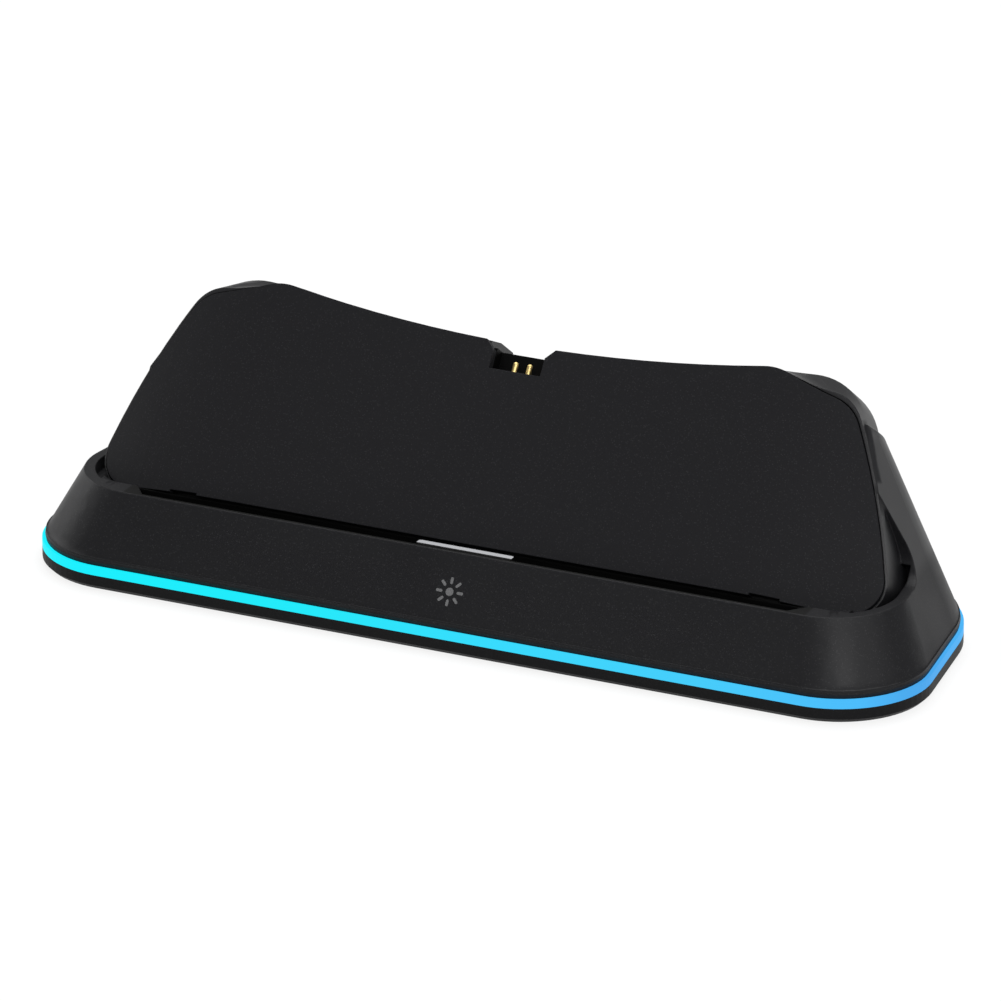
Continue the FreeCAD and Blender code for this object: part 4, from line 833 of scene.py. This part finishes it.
class Repeats:
    """Geometry node trees that lay small pieces out in patterns."""

    RAY_ROUND = 0.49
    ROUND_STEPS = 6
    DOT_SIDES = 28

    @staticmethod
    def _tree(name: str, inputs: dict[str, str]) -> Wiring:
        """Make an empty tree with named inputs.

        Args:
            name: Tree name.
            inputs: Socket type by input name.

        Returns:
            Wiring of the new tree.
        """
        tree = bpy.data.node_groups.new(name, "GeometryNodeTree")
        tree.interface.new_socket("Geometry", in_out="INPUT", socket_type="NodeSocketGeometry")
        tree.interface.new_socket("Geometry", in_out="OUTPUT", socket_type="NodeSocketGeometry")
        for label, kind in inputs.items():
            tree.interface.new_socket(label, in_out="INPUT", socket_type=kind)
        return Wiring(tree)

    @staticmethod
    def _end(wires: Wiring, shape: bpy.types.NodeSocket, inlet: bpy.types.Node) -> None:
        """Realize the instances, set the material and close the tree.

        Args:
            wires: Wiring of the tree.
            shape: Socket with the instances.
            inlet: Input node of the tree.
        """
        outlet = wires.add("NodeGroupOutput")
        real = wires.add("GeometryNodeRealizeInstances")
        paint = wires.add("GeometryNodeSetMaterial")
        wires.link(shape, real.inputs["Geometry"])
        wires.link(real.outputs["Geometry"], paint.inputs["Geometry"])
        wires.link(inlet.outputs["Material"], paint.inputs["Material"])
        wires.link(paint.outputs["Geometry"], outlet.inputs["Geometry"])

    @classmethod
    def sun_mark(cls) -> bpy.types.NodeTree:
        """Round dot in a ring of rounded rays, as thin print.

        Returns:
            The tree, with the inputs Rays, Ring, Ray Length, Ray Width, Dot, Thickness, Material.
        """
        wires = cls._tree("sun_mark", {
            "Rays": "NodeSocketInt",
            "Ring": "NodeSocketFloat",
            "Ray Length": "NodeSocketFloat",
            "Ray Width": "NodeSocketFloat",
            "Dot": "NodeSocketFloat",
            "Thickness": "NodeSocketFloat",
            "Material": "NodeSocketMaterial",
        })
        inlet = wires.add("NodeGroupInput")
        ring = wires.add("GeometryNodeMeshCircle", fill_type="NONE")
        wires.link(inlet.outputs["Rays"], ring.inputs["Vertices"])
        wires.link(inlet.outputs["Ring"], ring.inputs["Radius"])
        outline = wires.add("GeometryNodeCurvePrimitiveQuadrilateral", mode="RECTANGLE")
        wires.link(inlet.outputs["Ray Width"], outline.inputs["Width"])
        wires.link(inlet.outputs["Ray Length"], outline.inputs["Height"])
        ease = wires.add("GeometryNodeFilletCurve", mode="POLY")
        ease.inputs["Count"].default_value = cls.ROUND_STEPS
        wires.link(outline.outputs["Curve"], ease.inputs["Curve"])
        round_end = wires.math("MULTIPLY", inlet.outputs["Ray Width"], cls.RAY_ROUND)
        wires.link(round_end, ease.inputs["Radius"])
        fill = wires.add("GeometryNodeFillCurve")
        wires.link(ease.outputs["Curve"], fill.inputs["Curve"])
        facing = wires.add("FunctionNodeAlignRotationToVector", axis="Y", pivot_axis="Z")
        where = wires.add("GeometryNodeInputPosition")
        wires.link(where.outputs["Position"], facing.inputs["Vector"])
        spread = wires.add("GeometryNodeInstanceOnPoints")
        wires.link(ring.outputs["Mesh"], spread.inputs["Points"])
        wires.link(fill.outputs["Mesh"], spread.inputs["Instance"])
        wires.link(facing.outputs["Rotation"], spread.inputs["Rotation"])
        dot = wires.add("GeometryNodeMeshCircle", fill_type="NGON")
        dot.inputs["Vertices"].default_value = cls.DOT_SIDES
        wires.link(inlet.outputs["Dot"], dot.inputs["Radius"])
        both = wires.add("GeometryNodeJoinGeometry")
        wires.link(spread.outputs["Instances"], both.inputs["Geometry"])
        wires.link(dot.outputs["Mesh"], both.inputs["Geometry"])
        flat = wires.add("GeometryNodeRealizeInstances")
        wires.link(both.outputs["Geometry"], flat.inputs["Geometry"])
        thick = wires.add("GeometryNodeExtrudeMesh")
        thick.inputs["Individual"].default_value = False
        up = wires.add("ShaderNodeCombineXYZ")
        up.inputs["Z"].default_value = 1.0
        wires.link(flat.outputs["Geometry"], thick.inputs["Mesh"])
        wires.link(up.outputs[0], thick.inputs["Offset"])
        wires.link(inlet.outputs["Thickness"], thick.inputs["Offset Scale"])
        cls._end(wires, thick.outputs["Mesh"], inlet)
        return wires.tree

    @classmethod
    def bars_on_points(cls) -> bpy.types.NodeTree:
        """Crossed bars set on every point of the base mesh.

        Returns:
            The tree, with the inputs Length, Width, Height, Crossed, Material.
        """
        wires = cls._tree("bars_on_points", {
            "Length": "NodeSocketFloat",
            "Width": "NodeSocketFloat",
            "Height": "NodeSocketFloat",
            "Crossed": "NodeSocketBool",
            "Material": "NodeSocketMaterial",
        })
        inlet = wires.add("NodeGroupInput")
        bars = []
        for first, second in (("Length", "Width"), ("Width", "Length")):
            size = wires.add("ShaderNodeCombineXYZ")
            wires.link(inlet.outputs[first], size.inputs["X"])
            wires.link(inlet.outputs[second], size.inputs["Y"])
            wires.link(inlet.outputs["Height"], size.inputs["Z"])
            block = wires.add("GeometryNodeMeshCube")
            wires.link(size.outputs[0], block.inputs["Size"])
            bars.append(block.outputs["Mesh"])
        cross = wires.add("GeometryNodeSwitch", input_type="GEOMETRY")
        wires.link(inlet.outputs["Crossed"], cross.inputs["Switch"])
        wires.link(bars[1], cross.inputs["True"])
        both = wires.add("GeometryNodeJoinGeometry")
        wires.link(bars[0], both.inputs["Geometry"])
        wires.link(cross.outputs["Output"], both.inputs["Geometry"])
        spread = wires.add("GeometryNodeInstanceOnPoints")
        wires.link(inlet.outputs["Geometry"], spread.inputs["Points"])
        wires.link(both.outputs["Geometry"], spread.inputs["Instance"])
        cls._end(wires, spread.outputs["Instances"], inlet)
        return wires.tree


def grown(name: str, points: list[Vector], tree: bpy.types.NodeTree, values: dict[str, object],
          place: Matrix = Matrix.Identity(4)) -> bpy.types.Object:
    """Mesh object grown by a geometry node tree over some points.

    Args:
        name: Object name.
        points: Points that the tree starts from.
        tree: Geometry node tree.
        values: Tree inputs by name.
        place: Where the result goes.

    Returns:
        The object, with its place in its mesh and no modifier left.
    """
    seed = bpy.data.objects.new(f"{name}_seed", bpy.data.meshes.new(f"{name}_seed"))
    seed.data.from_pydata([tuple(point) for point in points], [], [])
    bpy.context.collection.objects.link(seed)
    modifier = seed.modifiers.new("repeat", "NODES")
    modifier.node_group = tree
    for socket in tree.interface.items_tree:
        if socket.in_out == "INPUT" and socket.name in values:
            modifier[socket.identifier] = values[socket.name]
    graph = bpy.context.evaluated_depsgraph_get()
    mesh = bpy.data.meshes.new_from_object(seed.evaluated_get(graph), depsgraph=graph)
    mesh.name = name
    mesh.transform(place)
    seed.modifiers.remove(modifier)
    bpy.data.objects.remove(seed)
    result = bpy.data.objects.new(name, mesh)
    bpy.context.collection.objects.link(result)
    return result


@dataclass
class SmoothMouldings:
    """Copies of the curved mouldings, their facets shaded as the smooth faces they stand for.

    Attributes:
        nodes: Pieces that are copied.
        crease: Largest angle in degrees between facets that is shaded smooth.
        weld: Distance in millimetres within which two corners are one.
        back_crease: The same angle on the rounded back of the tower.
        back_height: Height in millimetres from which that back is rounded.
        back_depth: Depth from the origin, square to the panel, from which it is rounded, in millimetres.
        lean: Lean of the tower from upright in degrees.
    """

    nodes: tuple[str, ...] = ("housing", "front_panel", "base_tray", "light_strip")
    crease: float = 14.0
    weld: float = 0.002
    back_crease: float = 50.0
    back_height: float = 36.0
    back_depth: float = -27.2
    lean: float = 36.0

    def build(self) -> list[bpy.types.Object]:
        """Make the copies and put them in place of their pieces.

        Returns:
            The copies.
        """
        return [self._copy(frame["nodes"][node], node) for node in self.nodes]

    def _copy(self, source: bpy.types.Object, node: str) -> bpy.types.Object:
        """Copy one piece, weld it and shade it smooth.

        Args:
            source: Piece to copy, dressed.
            node: Its name.

        Returns:
            The copy, riding with the dock.
        """
        work = bmesh.new()
        work.from_mesh(source.data)
        bmesh.ops.remove_doubles(work, verts=work.verts, dist=self.weld * MM)
        mesh = bpy.data.meshes.new(f"{node}_rough")
        work.to_mesh(mesh)
        work.edges.index_update()
        rounded = [edge.index for edge in work.edges if self._rounded(edge)]
        work.free()
        mesh.shade_smooth()
        mesh.set_sharp_from_angle(angle=math.radians(self.crease))
        for index in rounded:
            mesh.edges[index].use_edge_sharp = False
        rough = bpy.data.objects.new(f"{node}_rough", mesh)
        bpy.context.collection.objects.link(rough)
        bent = {corner for index in rounded for corner in mesh.edges[index].vertices}
        flat = rough.vertex_groups.new(name="flat")
        level = [corner.index for corner in mesh.vertices if corner.index not in bent]
        flat.add(level, 1.0, "REPLACE")
        weigh = rough.modifiers.new("weigh", "WEIGHTED_NORMAL")
        weigh.keep_sharp = True
        weigh.vertex_group = flat.name
        graph = bpy.context.evaluated_depsgraph_get()
        final = bpy.data.meshes.new_from_object(rough.evaluated_get(graph), depsgraph=graph)
        final.name = f"{node}_smooth"
        bpy.data.objects.remove(rough)
        piece = bpy.data.objects.new(f"{node}_smooth", final)
        piece.vertex_groups.clear()
        bpy.context.collection.objects.link(piece)
        dress(piece, source.data.materials[0])
        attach(piece, DOCK)
        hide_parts(node)
        return piece

    def _rounded(self, edge: bmesh.types.BMEdge) -> bool:
        """Whether an edge lies on the rounded back of the tower and is no real corner.

        Args:
            edge: Edge of a welded copy.

        Returns:
            True where the edge is shaded smooth whatever its piece's own crease.
        """
        middle = (edge.verts[0].co + edge.verts[1].co) / 2 / MM
        lean = math.radians(self.lean)
        depth = middle.y * math.cos(lean) - middle.z * math.sin(lean)
        if middle.z < self.back_height or depth < self.back_depth or not edge.is_manifold:
            return False
        return edge.calc_face_angle() < math.radians(self.back_crease)


@dataclass
class ContactSprings:
    """Coil springs under the contacts.

    Attributes:
        sides: Sides of the dock that have a contact.
        crease: Largest angle in degrees between facets of the wire that is shaded smooth.
    """

    sides: tuple[str, ...] = ("left", "right")
    crease: float = 100.0

    def build(self) -> list[bpy.types.Object]:
        """Make the springs as smoothed copies of their pieces.

        Returns:
            The springs.
        """
        joints = {joint["name"]: joint for joint in frame["record"]["behaviour"]["joints"]}
        springs = []
        for side in self.sides:
            joint = joints[f"contact_{side}_press"]
            [spring] = SmoothMouldings((f"spring_{side}",), self.crease).build()
            axis = Vector(joint["axis"])
            depths = [axis.dot(corner.co) for corner in spring.data.vertices]
            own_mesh(spring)
            springs.append(spring)
        return springs


@dataclass
class TouchMark:
    """Printed sun on the front slope, over the touch key.

    Attributes:
        height: Height of its centre in millimetres.
        foot_y: Y of the slope's foot in millimetres.
        foot_z: Height of the slope's foot in millimetres.
        lean: Lean of the slope from upright in degrees.
        rays: Number of rays.
        ring: Radius of the rays' middles in millimetres.
        ray_length: Length of a ray in millimetres.
        ray_width: Width of a ray in millimetres.
        dot: Radius of the dot in millimetres.
        thickness: Thickness of the print in millimetres.
    """

    height: float = 13.24
    foot_y: float = -35.3
    foot_z: float = 6.7
    lean: float = 31.0
    rays: int = 8
    ring: float = 2.48
    ray_length: float = 1.55
    ray_width: float = 0.66
    dot: float = 0.93
    thickness: float = 0.04

    def build(self, material: bpy.types.Material) -> bpy.types.Object:
        """Print the mark.

        Args:
            material: Colour of the print.

        Returns:
            The mark.
        """
        lean = math.radians(self.lean)
        inward = (self.height - self.foot_z) * math.tan(lean)
        middle = Vector((0.0, self.foot_y + inward, self.height)) * MM
        place = Matrix.Translation(middle) @ Matrix.Rotation(math.pi / 2 - lean, 4, "X")
        mark = grown("touch_mark", [Vector()], Repeats.sun_mark(), {
            "Rays": self.rays,
            "Ring": self.ring * MM,
            "Ray Length": self.ray_length * MM,
            "Ray Width": self.ray_width * MM,
            "Dot": self.dot * MM,
            "Thickness": self.thickness * MM,
            "Material": material,
        }, place)
        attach(mark, DOCK)
        return mark


@dataclass
class SmallMetalwork:
    """Drive recesses of the screws and the leaves of the power socket.

    Attributes:
        recess: Length of a drive recess in millimetres.
        recess_width: Width of a drive recess in millimetres.
        board_share: Size of a board screw's recess against a base screw's.
        slack: Distance in millimetres within which a corner is on a head's face.
        skin: Thickness of each small piece in millimetres.
        leaf_count: Leaves on each side of the tongue.
        leaf_pitch: Spacing of the leaves in millimetres.
        leaf_length: Length of a leaf in millimetres.
        leaf_width: Width of a leaf in millimetres.
    """

    recess: float = 3.0
    recess_width: float = 0.8
    board_share: float = 0.7
    slack: float = 0.01
    skin: float = 0.03
    leaf_count: int = 12
    leaf_pitch: float = 0.5
    leaf_length: float = 4.4
    leaf_width: float = 0.26

    def build(self, dark: bpy.types.Material, gold: bpy.types.Material) -> list[bpy.types.Object]:
        """Make the recesses and the leaves.

        Args:
            dark: Material of the recesses.
            gold: Material of the leaves.

        Returns:
            The pieces made.
        """
        tree = Repeats.bars_on_points()
        pieces = []
        kinds = (("base_screws", True, 1.0), ("board_screws", False, self.board_share))
        for node, under, share in kinds:
            points = self._heads(frame["nodes"][node], under)
            pieces.append(grown(f"{node}_drive", points, tree, {
                "Length": self.recess * share * MM,
                "Width": self.recess_width * share * MM,
                "Height": self.skin * MM,
                "Crossed": True,
                "Material": dark,
            }))
        low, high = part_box("socket_tongue")
        middle = (Vector(low) + Vector(high)) / 2
        first = middle.x - self.leaf_pitch * MM * (self.leaf_count - 1) / 2
        points = [
            Vector((first + index * self.leaf_pitch * MM, middle.y, z))
            for index in range(self.leaf_count)
            for z in (low[2] - self.skin * MM / 2, high[2] + self.skin * MM / 2)
        ]
        pieces.append(grown("socket_leaves", points, tree, {
            "Length": self.leaf_width * MM,
            "Width": self.leaf_length * MM,
            "Height": self.skin * MM,
            "Crossed": False,
            "Material": gold,
        }))
        for piece in pieces:
            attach(piece, DOCK)
        return pieces

    def _heads(self, screws: bpy.types.Object, under: bool) -> list[Vector]:
        """Middles of the screw heads' faces.

        Args:
            screws: Node with several screws.
            under: Whether the heads face down.

        Returns:
            One point for each screw, half a skin off its face.
        """
        spots = [corner.co.copy() for corner in screws.data.vertices]
        level = min(spot.z for spot in spots) if under else max(spot.z for spot in spots)
        rim = [spot for spot in spots if abs(spot.z - level) < self.slack * MM]
        shift = -self.skin * MM / 2 if under else self.skin * MM / 2
        middle_y = (min(s.y for s in rim) + max(s.y for s in rim)) / 2
        heads = []
        for across in (-1, 1):
            for along in (-1, 1):
                near = [s for s in rim if s.x * across > 0 and (s.y - middle_y) * along > 0]
                heads.append(Vector((
                    (min(s.x for s in near) + max(s.x for s in near)) / 2,
                    (min(s.y for s in near) + max(s.y for s in near)) / 2,
                    level + shift,
                )))
        return heads


@dataclass
class LightBand:
    """Band of light round the foot of the dock.

    Attributes:
        node: Piece that is lit.
        roughness: Roughness of the band.
        stops: Pairs of place along X in millimetres and display colour, from cyan to blue.
    """

    node: str = "light_strip"
    roughness: float = 0.6
    stops: tuple[tuple[float, tuple[int, int, int]], ...] = (
        (-106.0, (6, 240, 254)),
        (-34.0, (27, 233, 249)),
        (14.0, (52, 218, 252)),
        (63.0, (67, 203, 250)),
        (98.0, (74, 187, 251)),
        (106.0, (70, 165, 235)),
    )

    def dress(self) -> None:
        """Light the band from the left to the right."""
        finish = LitBand("band_light", BLACK, self.roughness, stops=self.stops)
        dress(frame["nodes"][self.node], finish.material())


def main() -> None:
    """Build the dock's looks and the studio round it."""
    logging.basicConfig(level=logging.INFO)
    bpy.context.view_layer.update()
    PictureCamera().build()
    Studio().build()
    made: dict[Enum, bpy.types.Material] = {}
    for node, choice in NODE_FINISH.items():
        if choice not in made:
            made[choice] = choice.value.material()
        dress(frame["nodes"][node], made[choice])
        LOG.info("dressed %s", node)
    LightBand().dress()
    LOG.info("dressed %s", LightBand.node)
    for piece in SmoothMouldings().build() + ContactSprings().build():
        LOG.info("smoothed %s", piece.name)
    mark = TouchMark().build(Plastics.PRINT.value.material())
    LOG.info("printed %s", mark.name)
    for piece in SmallMetalwork().build(made[Plastics.CHIP], made[Metals.GOLD]):
        LOG.info("added %s", piece.name)


if __name__ == "__main__":
    main()
